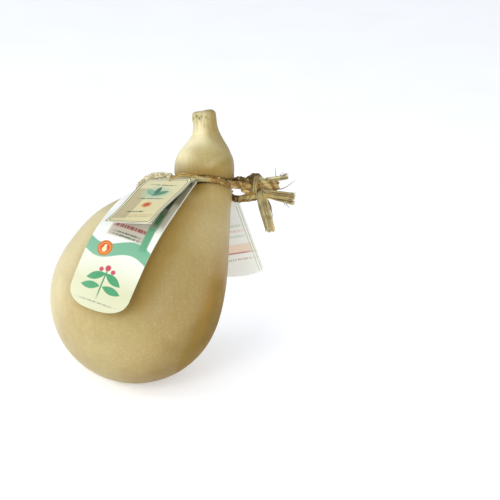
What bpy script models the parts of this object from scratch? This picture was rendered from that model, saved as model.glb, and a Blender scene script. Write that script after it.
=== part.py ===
"""Caciocavallo: a pear-shaped stretched-curd cheese, tied at the neck with rush rope.

The cheese leans back and to the right on a small flattened foot. Three paper cards hang
from its neck: a long card bent over the shoulder, a small card lying on top of it, and a
rear card under the back run of the rope.

World axes: +X right, +Y back, +Z up, origin at the centre of the foot. Places on the
cheese are given in millimetres in its leaning frame, which starts at the belly's centre:
right (along +X), up (the leaning plane's rise) and front (square to both).
"""

import math

import bmesh
import bpy
from mathutils import Matrix, Vector

MM = 0.001
GAP = 0.3

# Cheese body, in millimetres and degrees.
BELLY_RADIUS = 75.0
FOOT_RADIUS = 24.0
LEAN_BACK = 24.0
LEAN_RIGHT = 25.0
SIDES = 48
BELLY_STEP = 7.5

# Rope and thread.
ROPE_DIAMETER = 7.2
BACK_STRAND_DIAMETER = 6.4
ROPE_LAY = 13.0
THREAD_DIAMETER = 1.1
RING_RADIUS = 21.0
RING_CENTRE = (59.4, 102.3)
RING_LEAN = 6.0
GROOVE_DEPTH_RADIUS = RING_RADIUS - ROPE_DIAMETER / 2 - GAP - 0.3

# Paper cards.
CARD_THICKNESS = 0.6
HOLE_DIAMETER = 3.2
HOLE_MARGIN = 4.5

# Shoulder: distance along the leaning axis, sideways shift to the right, radius.
SHOULDER = (
    (10.0, 0.0, 74.4),
    (26.0, 0.0, 71.6),
    (44.0, 0.2, 66.6),
    (60.0, 1.2, 59.7),
    (77.0, 4.4, 49.6),
    (93.0, 9.1, 38.3),
    (105.0, 13.0, 29.2),
)

# Neck groove: height over the rope ring's plane, radius.
GROOVE = (
    (-6.2, 25.6),
    (-5.1, 22.6),
    (-3.9, 19.0),
    (-2.0, 17.1),
    (0.0, GROOVE_DEPTH_RADIUS),
    (2.0, 17.1),
    (3.9, 19.2),
    (5.0, 23.0),
)

# Head and stem: right, up, lean to the right in degrees, radius.
HEAD = (
    (59.9, 109.0, 4.0, 25.8),
    (59.8, 115.0, 1.0, 26.4),
    (59.8, 120.4, 0.0, 25.6),
    (59.8, 125.7, 0.0, 23.5),
    (60.6, 130.9, 0.0, 20.6),
    (61.2, 136.2, 0.0, 16.7),
    (61.6, 141.4, 0.0, 13.3),
    (60.9, 146.7, -1.0, 11.2),
    (60.4, 151.6, -4.0, 10.3),
    (59.7, 156.2, -9.0, 10.7),
    (59.9, 160.2, -12.0, 9.8),
    (60.6, 163.2, -12.0, 6.4),
)
STEM_TOP = (61.0, 164.4)

BELLY_CENTRE_HEIGHT = math.sqrt(BELLY_RADIUS**2 - FOOT_RADIUS**2)
_BACK = math.radians(LEAN_BACK)
RIGHT = Vector((1.0, 0.0, 0.0))
UP = Vector((0.0, math.sin(_BACK), math.cos(_BACK)))
FRONT = Vector((0.0, -math.cos(_BACK), math.sin(_BACK)))


def leaning(right, up, front=0.0):
    """World place, in metres, of a point of the cheese's leaning frame in millimetres."""
    place = Vector((0.0, 0.0, BELLY_CENTRE_HEIGHT)) + RIGHT * right + UP * up + FRONT * front
    return place * MM


def direction(right, up, front=0.0):
    """World unit vector of a direction given in the leaning frame."""
    return (RIGHT * right + UP * up + FRONT * front).normalized()


def smooth_curve(points, step):
    """Points about one step apart on the Catmull-Rom curve through the given ones."""
    ends = [points[0] * 2 - points[1]] + list(points) + [points[-1] * 2 - points[-2]]
    curve = []
    for index in range(1, len(ends) - 2):
        before, start, end, after = ends[index - 1:index + 3]
        count = max(1, round((end - start).length / step))
        for part in range(count):
            t = part / count
            curve.append(0.5 * (2 * start + (end - before) * t
                                + (2 * before - 5 * start + 4 * end - after) * t**2
                                + (3 * start - before - 3 * end + after) * t**3))
    curve.append(points[-1].copy())
    return curve


def material(name, red, green, blue, roughness):
    """A Principled material with one colour."""
    made = bpy.data.materials.new(name)
    made.use_nodes = True
    shader = made.node_tree.nodes["Principled BSDF"]
    shader.inputs["Base Color"].default_value = (red, green, blue, 1.0)
    shader.inputs["Roughness"].default_value = roughness
    shader.inputs["Metallic"].default_value = 0.0
    return made


def finish(name, mesh_data, finish_material, sharp_angle=40.0):
    """Turn a bmesh into a named, smooth-shaded object with its material."""
    bmesh.ops.recalc_face_normals(mesh_data, faces=mesh_data.faces)
    mesh = bpy.data.meshes.new(name)
    mesh_data.to_mesh(mesh)
    mesh_data.free()
    mesh.shade_smooth()
    mesh.set_sharp_from_angle(angle=math.radians(sharp_angle))
    mesh.materials.append(finish_material)
    made = bpy.data.objects.new(name, mesh)
    bpy.context.scene.collection.objects.link(made)
    return made


def skin_rings(mesh_data, rings, close_start=True, close_end=True):
    """Bridge equal rings of vertices one after the other and close the two ends."""
    count = len(rings[0])
    for lower, upper in zip(rings, rings[1:]):
        for side in range(count):
            following = (side + 1) % count
            mesh_data.faces.new((lower[side], lower[following], upper[following], upper[side]))
    if close_start:
        mesh_data.faces.new(tuple(reversed(rings[0])))
    if close_end:
        mesh_data.faces.new(tuple(rings[-1]))


# ---------------------------------------------------------------- cheese

def ring_frame(centre, lean, radius):
    """One ring of the cheese as a 4-vector, so that rings can be blended smoothly."""
    return Vector((centre[0], centre[1], lean, radius))


def cheese_rings():
    """Rings from the belly's lower pole to the top of the stem."""
    lean = math.radians(LEAN_RIGHT)
    axis = Vector((math.sin(lean), math.cos(lean)))
    sideways = Vector((math.cos(lean), -math.sin(lean)))
    belly = []
    angle = BELLY_STEP
    while BELLY_RADIUS * -math.cos(math.radians(angle)) < SHOULDER[0][0] - BELLY_STEP:
        polar = math.radians(angle)
        centre = axis * (-BELLY_RADIUS * math.cos(polar))
        belly.append(ring_frame(centre, LEAN_RIGHT, BELLY_RADIUS * math.sin(polar)))
        angle += BELLY_STEP
    shaped = []
    for along, shift, radius in SHOULDER:
        shaped.append(ring_frame(axis * along + sideways * shift, LEAN_RIGHT, radius))
    ring_lean = math.radians(RING_LEAN)
    ring_axis = Vector((math.sin(ring_lean), math.cos(ring_lean)))
    blend = (12.0, 8.0, 6.0)
    for index, (height, radius) in enumerate(GROOVE):
        tilt = blend[index] if index < len(blend) else RING_LEAN
        shaped.append(ring_frame(Vector(RING_CENTRE) + ring_axis * height, tilt, radius))
    for right, up, tilt, radius in HEAD:
        shaped.append(ring_frame((right, up), tilt, radius))
    ends = [belly[-1]] + shaped + [shaped[-1] * 2 - shaped[-2]]
    fine = []
    for index in range(1, len(ends) - 2):
        before, start, end, after = ends[index - 1:index + 3]
        count = 3 if start.w > 40.0 else 2 if abs(start.w - end.w) > 1.5 else 1
        for part in range(count):
            t = part / count
            fine.append(0.5 * (2 * start + (end - before) * t
                               + (2 * before - 5 * start + 4 * end - after) * t**2
                               + (3 * start - before - 3 * end + after) * t**3))
    fine.append(shaped[-1])
    return belly + fine


def unevenness(angle, up, radius):
    """Small departure from round, in millimetres: a soft belly and a creased stem."""
    belly = 0.45 * math.sin(2 * angle + 0.7 + up / 60) + 0.3 * math.sin(3 * angle - up / 45)
    creases = 0.22 * math.sin(9 * angle + 0.6 * math.sin(2 * angle))
    stem = min(1.0, max(0.0, (up - 132.0) / 12.0))
    return belly * min(1.0, radius / BELLY_RADIUS) + creases * stem


def build_cheese():
    """The whole cheese in one solid, cut flat at the foot."""
    mesh_data = bmesh.new()
    rings = []
    for ring in cheese_rings():
        right, up, tilt, radius = ring
        lean = math.radians(tilt)
        sideways = Vector((math.cos(lean), -math.sin(lean)))
        loop = []
        for side in range(SIDES):
            angle = 2 * math.pi * side / SIDES
            reach = radius + unevenness(angle, up, radius)
            place = Vector((right, up)) + sideways * (reach * math.cos(angle))
            loop.append(mesh_data.verts.new(leaning(place.x, place.y, reach * math.sin(angle))))
        rings.append(loop)
    skin_rings(mesh_data, rings, close_start=False, close_end=False)
    lean = math.radians(LEAN_RIGHT)
    pole = leaning(-BELLY_RADIUS * math.sin(lean), -BELLY_RADIUS * math.cos(lean))
    for ring, tip in ((rings[0], pole), (rings[-1], leaning(*STEM_TOP))):
        centre = mesh_data.verts.new(tip)
        for side in range(SIDES):
            mesh_data.faces.new((centre, ring[side], ring[(side + 1) % SIDES]))
    bmesh.ops.recalc_face_normals(mesh_data, faces=mesh_data.faces)
    whole = list(mesh_data.verts) + list(mesh_data.edges) + list(mesh_data.faces)
    bmesh.ops.bisect_plane(mesh_data, geom=whole, dist=1e-6, plane_co=(0.0, 0.0, 0.0),
                           plane_no=(0.0, 0.0, 1.0), clear_inner=True)
    rim = [edge for edge in mesh_data.edges if edge.is_boundary]
    bmesh.ops.holes_fill(mesh_data, edges=rim, sides=0)
    return finish("cheese", mesh_data, RIND)


# ---------------------------------------------------------------- rope

def sweep(name, path, half_width, half_height, finish_material, sides=10, lobes=0, depth=0.0,
          lay=ROPE_LAY, flat_side=None):
    """A closed tube along a path of world points; lobes wind round it as strands do.

    half_width and half_height are functions of the share of the path's length, 0 to 1.
    """
    mesh_data = bmesh.new()
    normal = None
    travelled = 0.0
    length = sum((end - start).length for start, end in zip(path, path[1:]))
    rings = []
    for index, point in enumerate(path):
        ahead = path[min(index + 1, len(path) - 1)]
        behind = path[max(index - 1, 0)]
        tangent = (ahead - behind).normalized()
        if normal is None:
            normal = flat_side if flat_side else tangent.orthogonal()
        normal = (normal - tangent * normal.dot(tangent)).normalized()
        binormal = tangent.cross(normal)
        if index:
            travelled += (point - path[index - 1]).length
        share = travelled / length
        turn = 2 * math.pi * travelled / (lay * MM)
        loop = []
        for side in range(sides):
            angle = 2 * math.pi * side / sides
            swell = 1.0 + depth * math.cos(lobes * angle - turn) if lobes else 1.0
            offset = (binormal * (half_width(share) * math.cos(angle))
                      + normal * (half_height(share) * math.sin(angle))) * (swell * MM)
            loop.append(mesh_data.verts.new(point + offset))
        rings.append(loop)
    skin_rings(mesh_data, rings)
    return finish(name, mesh_data, finish_material, sharp_angle=60.0)


def even(value):
    """A half width that stays the same along the whole path."""
    return lambda share: value


def ring_point(angle, radius=RING_RADIUS, lift=0.0):
    """A point of the neck's rope ring, in the leaning frame; 0 is right, 90 is front."""
    lean = math.radians(RING_LEAN)
    turn = math.radians(angle)
    across = radius * math.cos(turn)
    right = RING_CENTRE[0] + across * math.cos(lean) + lift * math.sin(lean)
    up = RING_CENTRE[1] - across * math.sin(lean) + lift * math.cos(lean)
    return right, up, radius * math.sin(turn)


FRONT_LEAVES = 62
BACK_LEAVES = 282
FRONT_RUN = ((78.2, 99.5, 13.4), (85.5, 98.4, 8.8), (92.5, 97.7, 5.2), (97.3, 97.5, 3.2))
BACK_RUN = ((77.2, 96.0, -23.2), (83.4, 88.8, -22.4), (89.5, 86.9, -17.4), (96.0, 87.2, -12.0),
            (101.6, 88.0, -9.2))
UPPER_STRAND = ((78.6, 98.8, -9.0), (84.0, 102.2, -8.4), (88.6, 104.8, -6.4),
                (93.4, 105.6, -4.0), (97.3, 104.6, -2.2))
UPPER_STRAND_DIAMETER = 4.8
KNOT_AXIS = ((98.8, 97.6, 1.0), (104.4, 97.9, 0.4), (109.4, 98.0, -0.4))
KNOT_RADIUS = 8.4
TWISTED_END = ((110.4, 98.0, -0.6), (116.5, 98.4, -0.8), (122.4, 98.6, -1.2))
THIN_TAIL = ((123.3, 101.6, -1.4), (127.8, 103.4, -2.0), (133.4, 105.4, -3.0))
THICK_TAIL = ((114.2, 92.0, 7.8), (118.5, 91.2, 7.6), (128.1, 89.2, 6.4), (139.0, 84.9, 4.6))
DOWN_TAIL = ((100.8, 105.2, 8.6), (104.2, 101.2, 11.9), (107.0, 94.0, 12.2), (108.8, 87.6, 9.2),
             (111.0, 81.4, 5.8), (114.5, 73.4, 3.6), (117.0, 62.5, 0.8), (118.2, 56.5, -1.0))
HANGING_LOOP = ((31.4, 105.9, 2.6), (26.4, 106.2, 1.2), (20.6, 106.5, -0.8),
                (14.6, 105.9, -3.0), (8.6, 103.5, -4.9), (4.6, 99.9, -8.0),
                (2.2, 96.6, -12.8), (1.4, 94.2, -18.5), (2.6, 92.4, -24.2),
                (5.9, 91.4, -29.1), (10.8, 91.2, -32.4), (16.5, 91.9, -33.5),
                (22.6, 93.6, -33.0), (28.4, 96.4, -31.0), (33.6, 99.9, -27.4),
                (38.0, 103.4, -22.8))


def world_path(points, step):
    """A smooth world path through points of the leaning frame."""
    return smooth_curve([leaning(*point) for point in points], step * MM)


def build_neck_rope():
    """The rope's turn round the neck, with both runs out to the knot."""
    front = [leaning(*point) for point in reversed(FRONT_RUN)]
    turn = []
    for angle in range(FRONT_LEAVES, BACK_LEAVES + 1, 22):
        turn.append(leaning(*ring_point(angle)))
    back = [leaning(*point) for point in BACK_RUN]
    path = smooth_curve(front + turn + back, 2.6 * MM)
    thick = ROPE_DIAMETER / 2
    thin = BACK_STRAND_DIAMETER / 2

    def half(share):
        return thick + (thin - thick) * share

    sweep("neck_rope", path, half, half, RUSH, lobes=2, depth=0.10)
    upper_half = UPPER_STRAND_DIAMETER / 2
    sweep("upper_strand", world_path(UPPER_STRAND, 3.0), even(upper_half), even(upper_half),
          RUSH, sides=8)


def build_knot():
    """The knot as one ridged lump that both runs of the rope go into."""
    path = world_path(KNOT_AXIS, 1.1)

    def bulge(share):
        return KNOT_RADIUS * (0.62 + 0.38 * math.sin(math.pi * (0.12 + 0.8 * share)))

    return sweep("rope_knot", path, bulge, lambda share: 0.92 * bulge(share), RUSH, sides=16,
                 lobes=2, depth=0.11, lay=22.0)


def build_rope_ends():
    """The twisted end beyond the knot and the three loosened tails."""
    facing = direction(0.0, 0.0, 1.0)
    sweep("rope_end", world_path(TWISTED_END, 1.6), even(4.3), even(4.1), RUSH, sides=12,
          lobes=3, depth=0.12, lay=11.0)
    sweep("rope_tail_thin", world_path(THIN_TAIL, 3.0), lambda share: 1.7 + 0.5 * share,
          even(1.3), RUSH, sides=8, flat_side=facing)
    sweep("rope_tail_thick", world_path(THICK_TAIL, 3.0), lambda share: 2.8 + 2.1 * share,
          even(2.2), RUSH, sides=10, flat_side=facing)
    sweep("rope_tail_down", world_path(DOWN_TAIL, 3.0), lambda share: 3.6 + 3.4 * share * (1 - share),
          even(1.6), RUSH, sides=10, flat_side=facing)


def build_hanging_loop():
    """The free loop left of the neck, as a round tube on a smooth route."""
    curve = bpy.data.curves.new("hanging_loop", "CURVE")
    curve.dimensions = "3D"
    curve.bevel_depth = ROPE_DIAMETER / 2 * MM
    curve.bevel_resolution = 3
    curve.use_fill_caps = True
    route = world_path(HANGING_LOOP, 6.0)
    spline = curve.splines.new("POLY")
    spline.points.add(len(route) - 1)
    for point, place in zip(spline.points, route):
        point.co = (*place, 1.0)
    curve.materials.append(RUSH)
    made = bpy.data.objects.new("hanging_loop", curve)
    bpy.context.scene.collection.objects.link(made)
    return made


# ---------------------------------------------------------------- cards

class Card:
    """A stiff paper card that starts flat at its top edge and bends as it goes down.

    bends are degrees of bend over each tenth of a metre, at equal shares of the length.
    """

    def __init__(self, name, top, across, down, width, length, bends=(0.0, 0.0),
                 twists=(0.0, 0.0), bow=0.0, top_radius=4.0, end_height=2.0, end_power=2.0,
                 left_cut=(0.0, 0.0), hole=(0.0, HOLE_MARGIN)):
        self.name = name
        self.top = leaning(*top)
        self.across = direction(*across)
        fall = direction(*down)
        self.down = (fall - self.across * fall.dot(self.across)).normalized()
        self.width = width
        self.length = length
        self.bends = bends
        self.twists = twists
        self.bow = bow
        self.top_radius = top_radius
        self.end_height = end_height
        self.end_power = end_power
        self.left_cut = left_cut
        self.hole = hole

    @staticmethod
    def at_share(values, share):
        """The value at a share of the length, read between the given ones."""
        place = share * (len(values) - 1)
        index = min(int(place), len(values) - 2)
        return values[index] + (values[index + 1] - values[index]) * (place - index)

    def rows(self):
        """Distances from the top edge, closer together where the outline turns."""
        marks = [self.top_radius * share for share in (0.02, 0.15, 0.4, 0.7, 1.0)]
        body = self.length - self.end_height
        count = max(2, round((body - self.top_radius) / 6.5))
        for index in range(1, count + 1):
            marks.append(self.top_radius + (body - self.top_radius) * index / count)
        marks += [body + self.end_height * share for share in (0.25, 0.5, 0.72, 0.88, 0.98)]
        return marks

    def half_widths(self, fallen):
        """Reach of the card to its left and right at a distance from the top edge."""
        half = self.width / 2
        if fallen < self.top_radius:
            rest = self.top_radius - fallen
            half -= self.top_radius - math.sqrt(self.top_radius**2 - rest**2)
        left_over = self.length - fallen
        if left_over < self.end_height:
            share = 1 - left_over / self.end_height
            half *= (1 - share**self.end_power) ** (1 / self.end_power)
        cut, cut_length = self.left_cut
        narrowed = cut * max(0.0, 1 - fallen / cut_length) if cut_length else 0.0
        return half - narrowed, half

    def frame_at(self, distance):
        """Centre, across, down and outward vectors at a distance from the top edge."""
        place = self.top.copy()
        across = self.across.copy()
        down = self.down.copy()
        steps = max(1, math.ceil(distance / 2.0))
        stride = distance / steps
        for index in range(steps):
            share = (index + 0.5) * stride / self.length
            bend = math.radians(self.at_share(self.bends, share)) * stride / 100.0
            twist = math.radians(self.at_share(self.twists, share)) * stride / 100.0
            turn = Matrix.Rotation(bend, 3, across) @ Matrix.Rotation(twist, 3, down)
            across = (turn @ across).normalized()
            down = (turn @ down).normalized()
            place = place + down * (stride * MM)
        return place, across, down, down.cross(across)

    def point(self, sideways, distance, lift=0.0):
        """World point of the card's sheet; sideways and lift are in millimetres."""
        place, across, _, outward = self.frame_at(distance)
        sag = self.bow * (2 * sideways / self.width) ** 2
        return place + (across * sideways + outward * (lift - sag)) * MM

    def hole_frame(self):
        """Centre of the punched hole and the card's outward direction there."""
        return self.point(*self.hole), self.frame_at(self.hole[1])[3]

    def build(self, columns=6):
        """The card as a thin closed solid with a punched hole under its top edge."""
        mesh_data = bmesh.new()
        layers = []
        for lift in (-CARD_THICKNESS / 2, CARD_THICKNESS / 2):
            grid = []
            for distance in self.rows():
                left, right = self.half_widths(distance)
                row = []
                for column in range(columns + 1):
                    sideways = -left + (left + right) * column / columns
                    row.append(mesh_data.verts.new(self.point(sideways, distance, lift)))
                grid.append(row)
            layers.append(grid)
        for grid in layers:
            for upper, lower in zip(grid, grid[1:]):
                for column in range(columns):
                    mesh_data.faces.new((upper[column], upper[column + 1],
                                         lower[column + 1], lower[column]))
        rims = []
        for grid in layers:
            rims.append([row[0] for row in grid] + grid[-1][1:-1]
                        + [row[-1] for row in reversed(grid)] + grid[0][-2:0:-1])
        for index in range(len(rims[0])):
            following = (index + 1) % len(rims[0])
            mesh_data.faces.new((rims[0][index], rims[0][following],
                                 rims[1][following], rims[1][index]))
        made = finish(self.name, mesh_data, CARD)
        self.punch(made)
        return made

    def punch(self, card):
        """Cut the round hole that the thread passes through."""
        centre, outward = self.hole_frame()
        cutter_mesh = bmesh.new()
        bmesh.ops.create_cone(cutter_mesh, cap_ends=True, segments=12,
                              radius1=HOLE_DIAMETER / 2 * MM, radius2=HOLE_DIAMETER / 2 * MM,
                              depth=6 * CARD_THICKNESS * MM)
        turn = outward.to_track_quat("Z", "Y").to_matrix().to_4x4()
        bmesh.ops.transform(cutter_mesh, matrix=Matrix.Translation(centre) @ turn,
                            verts=cutter_mesh.verts)
        cutter = finish(self.name + "_hole", cutter_mesh, CARD)
        cutter.hide_render = True
        cutter.display_type = "WIRE"
        cut = card.modifiers.new("hole", "BOOLEAN")
        cut.operation = "DIFFERENCE"
        cut.solver = "EXACT"
        cut.object = cutter


THREAD_OVER = ((36.0, 105.6, 25.4), (42.0, 107.6, 25.8), (46.8, 107.3, 26.6))
TIE_PLACE = (80.9, 91.6, -23.1)
TIE_RADIUS = 4.5


def build_cards():
    """The three cards; the long one is bent over the shoulder, below the small one."""
    long_card = Card("long_card", top=(34.7, 105.2, 13.5), across=(0.811, 0.012, 0.584),
                     down=(-0.534, -0.390, 0.750), width=56.4, length=150.0,
                     bends=(75.1, 13.2, 39.9, 59.3, 11.3, 33.5), twists=(-44.3, 20.6), bow=2.5,
                     top_radius=5.0, end_height=17.0, end_power=2.5, left_cut=(12.0, 40.0),
                     hole=(5.0, 13.5))
    small_card = Card("small_card", top=(33.4, 101.7, 23.1), across=(0.874, -0.030, 0.484),
                      down=(-0.409, -0.584, 0.701), width=44.7, length=77.2,
                      bends=(-15.6, -15.4), twists=(-3.9, -3.9), end_height=1.2)
    rear_card = Card("rear_card", top=(66.9, 80.6, -32.6), across=(0.800, 0.120, 0.590),
                     down=(0.343, -0.895, -0.284), width=50.0, length=70.0,
                     bends=(4.0, -6.0), top_radius=5.0, end_height=5.0)
    for card in (long_card, small_card, rear_card):
        card.build()
    return long_card, small_card, rear_card


def build_front_thread(long_card, small_card):
    """The gold thread through both front cards and into the groove above the rope."""
    low, low_outward = long_card.hole_frame()
    high, high_outward = small_card.hole_frame()
    path = [low - low_outward * (1.0 * MM), low, high, high + high_outward * (1.8 * MM)]
    path += [leaning(*point) for point in THREAD_OVER]
    path.append(leaning(*ring_point(110, 25.1, 2.7)))
    half = even(THREAD_DIAMETER / 2)
    sweep("card_thread", smooth_curve(path, 2.0 * MM), half, half, THREAD, sides=6)


def build_rear_thread(rear_card):
    """A thread loop through the rear card's hole and round the back run of the rope."""
    hole, outward = rear_card.hole_frame()
    strand = leaning(*TIE_PLACE)
    rise = (strand - hole).normalized()
    along = direction(*(b - a for a, b in zip(BACK_RUN[0], BACK_RUN[1])))
    side = rise.cross(along).normalized()
    if side.dot(outward) < 0:
        side = -side
    wide = TIE_RADIUS * MM
    over_edge = (HOLE_MARGIN + 2.0) * MM
    off_card = outward * (1.7 * MM)
    above = -rear_card.frame_at(HOLE_MARGIN)[2]
    path = [hole - off_card, hole, hole + off_card, hole + above * over_edge + off_card,
            strand + side * wide, strand + rise * wide, strand - side * wide,
            hole + above * over_edge - off_card, hole + above * (2.2 * MM) - off_card]
    half = even(THREAD_DIAMETER / 2)
    sweep("rear_thread", smooth_curve(path, 2.0 * MM), half, half, THREAD, sides=6)


for existing in list(bpy.data.objects):
    bpy.data.objects.remove(existing, do_unlink=True)

RIND = material("cheese_rind", 0.62, 0.44, 0.19, 0.45)
RUSH = material("rush_rope", 0.36, 0.25, 0.12, 0.85)
THREAD = material("gold_thread", 0.55, 0.38, 0.10, 0.45)
CARD = material("printed_card", 0.78, 0.77, 0.66, 0.55)

build_cheese()
build_neck_rope()
build_knot()
build_rope_ends()
build_hanging_loop()
LONG, SMALL, REAR = build_cards()
build_front_thread(LONG, SMALL)
build_rear_thread(REAR)
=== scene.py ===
"""A caciocavallo cheese with its rush rope and paper cards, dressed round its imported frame.

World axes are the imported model's: +X right, +Y back, +Z up, the origin under the cheese's
flat foot. Places on the cheese are given in millimetres in its leaning frame, which starts
at the belly's centre: right along +X, up along the leaning rise, front square to both.
"""

import bisect
import logging
import math
import random
from dataclasses import dataclass
from enum import Enum
from typing import Callable, Sequence

import bmesh
import bpy
from mathutils import Matrix, Vector, noise


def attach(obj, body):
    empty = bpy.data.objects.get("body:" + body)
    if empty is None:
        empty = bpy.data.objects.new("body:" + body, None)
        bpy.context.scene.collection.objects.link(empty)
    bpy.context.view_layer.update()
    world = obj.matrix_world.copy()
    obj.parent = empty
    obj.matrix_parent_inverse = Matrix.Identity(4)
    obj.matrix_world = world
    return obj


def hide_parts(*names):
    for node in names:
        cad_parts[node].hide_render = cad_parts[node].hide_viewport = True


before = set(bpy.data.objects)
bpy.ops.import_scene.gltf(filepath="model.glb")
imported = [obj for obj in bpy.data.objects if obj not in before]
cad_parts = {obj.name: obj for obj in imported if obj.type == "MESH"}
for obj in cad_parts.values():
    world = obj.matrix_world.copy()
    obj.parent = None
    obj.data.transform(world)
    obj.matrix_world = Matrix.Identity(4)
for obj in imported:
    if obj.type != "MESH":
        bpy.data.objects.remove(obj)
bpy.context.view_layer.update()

log = logging.getLogger("caciocavallo")

MM = 0.001
SEAM_GAP = 1e-8
Point = tuple[float, float, float]

BELLY_RADIUS = 75.0
FOOT_RADIUS = 24.0
BELLY_CENTRE_HEIGHT = math.sqrt(BELLY_RADIUS**2 - FOOT_RADIUS**2)
LEAN_BACK = math.radians(24.0)
RIGHT = Vector((1.0, 0.0, 0.0))
UP = Vector((0.0, math.sin(LEAN_BACK), math.cos(LEAN_BACK)))
FRONT = Vector((0.0, -math.cos(LEAN_BACK), math.sin(LEAN_BACK)))

# The rope's ring round the neck, in the leaning frame.
RING_CENTRE = (59.4, 102.3)
RING_LEAN = math.radians(6.0)
RING_AXIS = RIGHT * math.sin(RING_LEAN) + UP * math.cos(RING_LEAN)


# ---------------------------------------------------------------- places and paths

def leaning(right: float, up: float, front: float = 0.0) -> Vector:
    """World place, in metres, of a leaning-frame point in millimetres."""
    place = Vector((0.0, 0.0, BELLY_CENTRE_HEIGHT)) + RIGHT * right + UP * up + FRONT * front
    return place * MM


def leaning_place(world: Vector) -> Vector:
    """Leaning-frame millimetres (right, up, front) of a world point in metres."""
    offset = world / MM - Vector((0.0, 0.0, BELLY_CENTRE_HEIGHT))
    return Vector((offset.dot(RIGHT), offset.dot(UP), offset.dot(FRONT)))


def direction(right: float, up: float, front: float = 0.0) -> Vector:
    """World unit vector of a direction given in the leaning frame."""
    return (RIGHT * right + UP * up + FRONT * front).normalized()


def ring_point(angle: float, radius: float, lift: float) -> Point:
    """A point of the rope's ring round the neck; 0 degrees is right, 90 is front.

    Args:
        angle: degrees round the ring.
        radius: distance from its middle.
        lift: height over its plane.

    Returns:
        The point in the leaning frame.
    """
    turn = math.radians(angle)
    across = radius * math.cos(turn)
    right = RING_CENTRE[0] + across * math.cos(RING_LEAN) + lift * math.sin(RING_LEAN)
    up = RING_CENTRE[1] - across * math.sin(RING_LEAN) + lift * math.cos(RING_LEAN)
    return right, up, radius * math.sin(turn)


def smooth_curve(points: Sequence[Vector], step: float) -> list[Vector]:
    """Points about one step apart on the smooth curve through the given ones.

    Args:
        points: places that the curve passes through.
        step: distance between two points of the result, in the same unit.

    Returns:
        The curve's points, from the first place to the last.
    """
    ends = [points[0] * 2 - points[1], *points, points[-1] * 2 - points[-2]]
    curve = []
    for index in range(1, len(ends) - 2):
        before, start, end, after = ends[index - 1:index + 3]
        count = max(1, round((end - start).length / step))
        for part in range(count):
            t = part / count
            curve.append(0.5 * (2 * start + (end - before) * t
                                + (2 * before - 5 * start + 4 * end - after) * t**2
                                + (3 * start - before - 3 * end + after) * t**3))
    curve.append(points[-1].copy())
    return curve


def world_path(points: Sequence[Point], step: float) -> list[Vector]:
    """A smooth world path through points of the leaning frame, step in millimetres."""
    return smooth_curve([leaning(*point) for point in points], step * MM)


class Track:
    """A path with a frame that turns along it without spinning."""

    def __init__(self, path: Sequence[Vector], facing: Vector | None = None) -> None:
        """Follow a path.

        Args:
            path: world points in metres.
            facing: direction that the frame's normal keeps closest to at the start.
        """
        self.path = list(path)
        self.travelled = [0.0]
        self.normals: list[Vector] = []
        self.tangents: list[Vector] = []
        normal = facing
        for index, point in enumerate(self.path):
            ahead = self.path[min(index + 1, len(self.path) - 1)]
            behind = self.path[max(index - 1, 0)]
            tangent = (ahead - behind).normalized()
            if normal is None:
                normal = tangent.orthogonal()
            normal = (normal - tangent * normal.dot(tangent)).normalized()
            self.normals.append(normal)
            self.tangents.append(tangent)
            if index:
                gone = (point - self.path[index - 1]).length
                self.travelled.append(self.travelled[-1] + gone)

    @property
    def length(self) -> float:
        """Length of the path in metres."""
        return self.travelled[-1]

    def at(self, share: float) -> tuple[Vector, Vector, Vector, Vector]:
        """Place, normal, binormal and tangent at a share of the length.

        Args:
            share: 0 at the start, 1 at the end.

        Returns:
            The four vectors, the place in metres.
        """
        goal = min(max(share, 0.0), 1.0) * self.length
        index = min(max(bisect.bisect_right(self.travelled, goal) - 1, 0), len(self.path) - 2)
        gap = self.travelled[index + 1] - self.travelled[index]
        part = (goal - self.travelled[index]) / gap if gap else 0.0
        place = self.path[index].lerp(self.path[index + 1], part)
        tangent = self.tangents[index].lerp(self.tangents[index + 1], part).normalized()
        normal = self.normals[index].lerp(self.normals[index + 1], part)
        normal = (normal - tangent * normal.dot(tangent)).normalized()
        return place, normal, tangent.cross(normal), tangent


def ridged(x: float, y: float, z: float) -> float:
    """Smooth repeatable noise between about -1 and 1."""
    return noise.noise(Vector((x, y, z)))


def falloff(value: float, centre: float, width: float) -> float:
    """A soft bell that is 1 at the centre and fades over the width."""
    return math.exp(-((value - centre) / width) ** 2)


def ramp(value: float, low: float, high: float) -> float:
    """Smooth rise from 0 at low to 1 at high."""
    share = min(max((value - low) / (high - low), 0.0), 1.0)
    return share * share * (3 - 2 * share)


def plateau(value: float, start: float, full: float, past: float, end: float) -> float:
    """Smooth rise from 0 at start to 1 at full, and fall from past to 0 at end."""
    return ramp(value, start, full) * (1 - ramp(value, past, end))


# ---------------------------------------------------------------- meshes

def as_object(name: str, mesh_data: bmesh.types.BMesh, finishes: Sequence[bpy.types.Material],
              sharp_angle: float = 50.0) -> bpy.types.Object:
    """Turn a bmesh into a smooth-shaded object at the origin.

    Args:
        name: the piece's name.
        mesh_data: its geometry in world metres; it is freed.
        finishes: its materials, in slot order.
        sharp_angle: edges that turn by more degrees than this stay sharp.

    Returns:
        The new object, linked to the scene.
    """
    mesh = bpy.data.meshes.new(name)
    mesh_data.to_mesh(mesh)
    mesh_data.free()
    mesh.shade_smooth()
    mesh.set_sharp_from_angle(angle=math.radians(sharp_angle))
    for finish in finishes:
        mesh.materials.append(finish)
    made = bpy.data.objects.new(name, mesh)
    bpy.context.scene.collection.objects.link(made)
    return made


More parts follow.
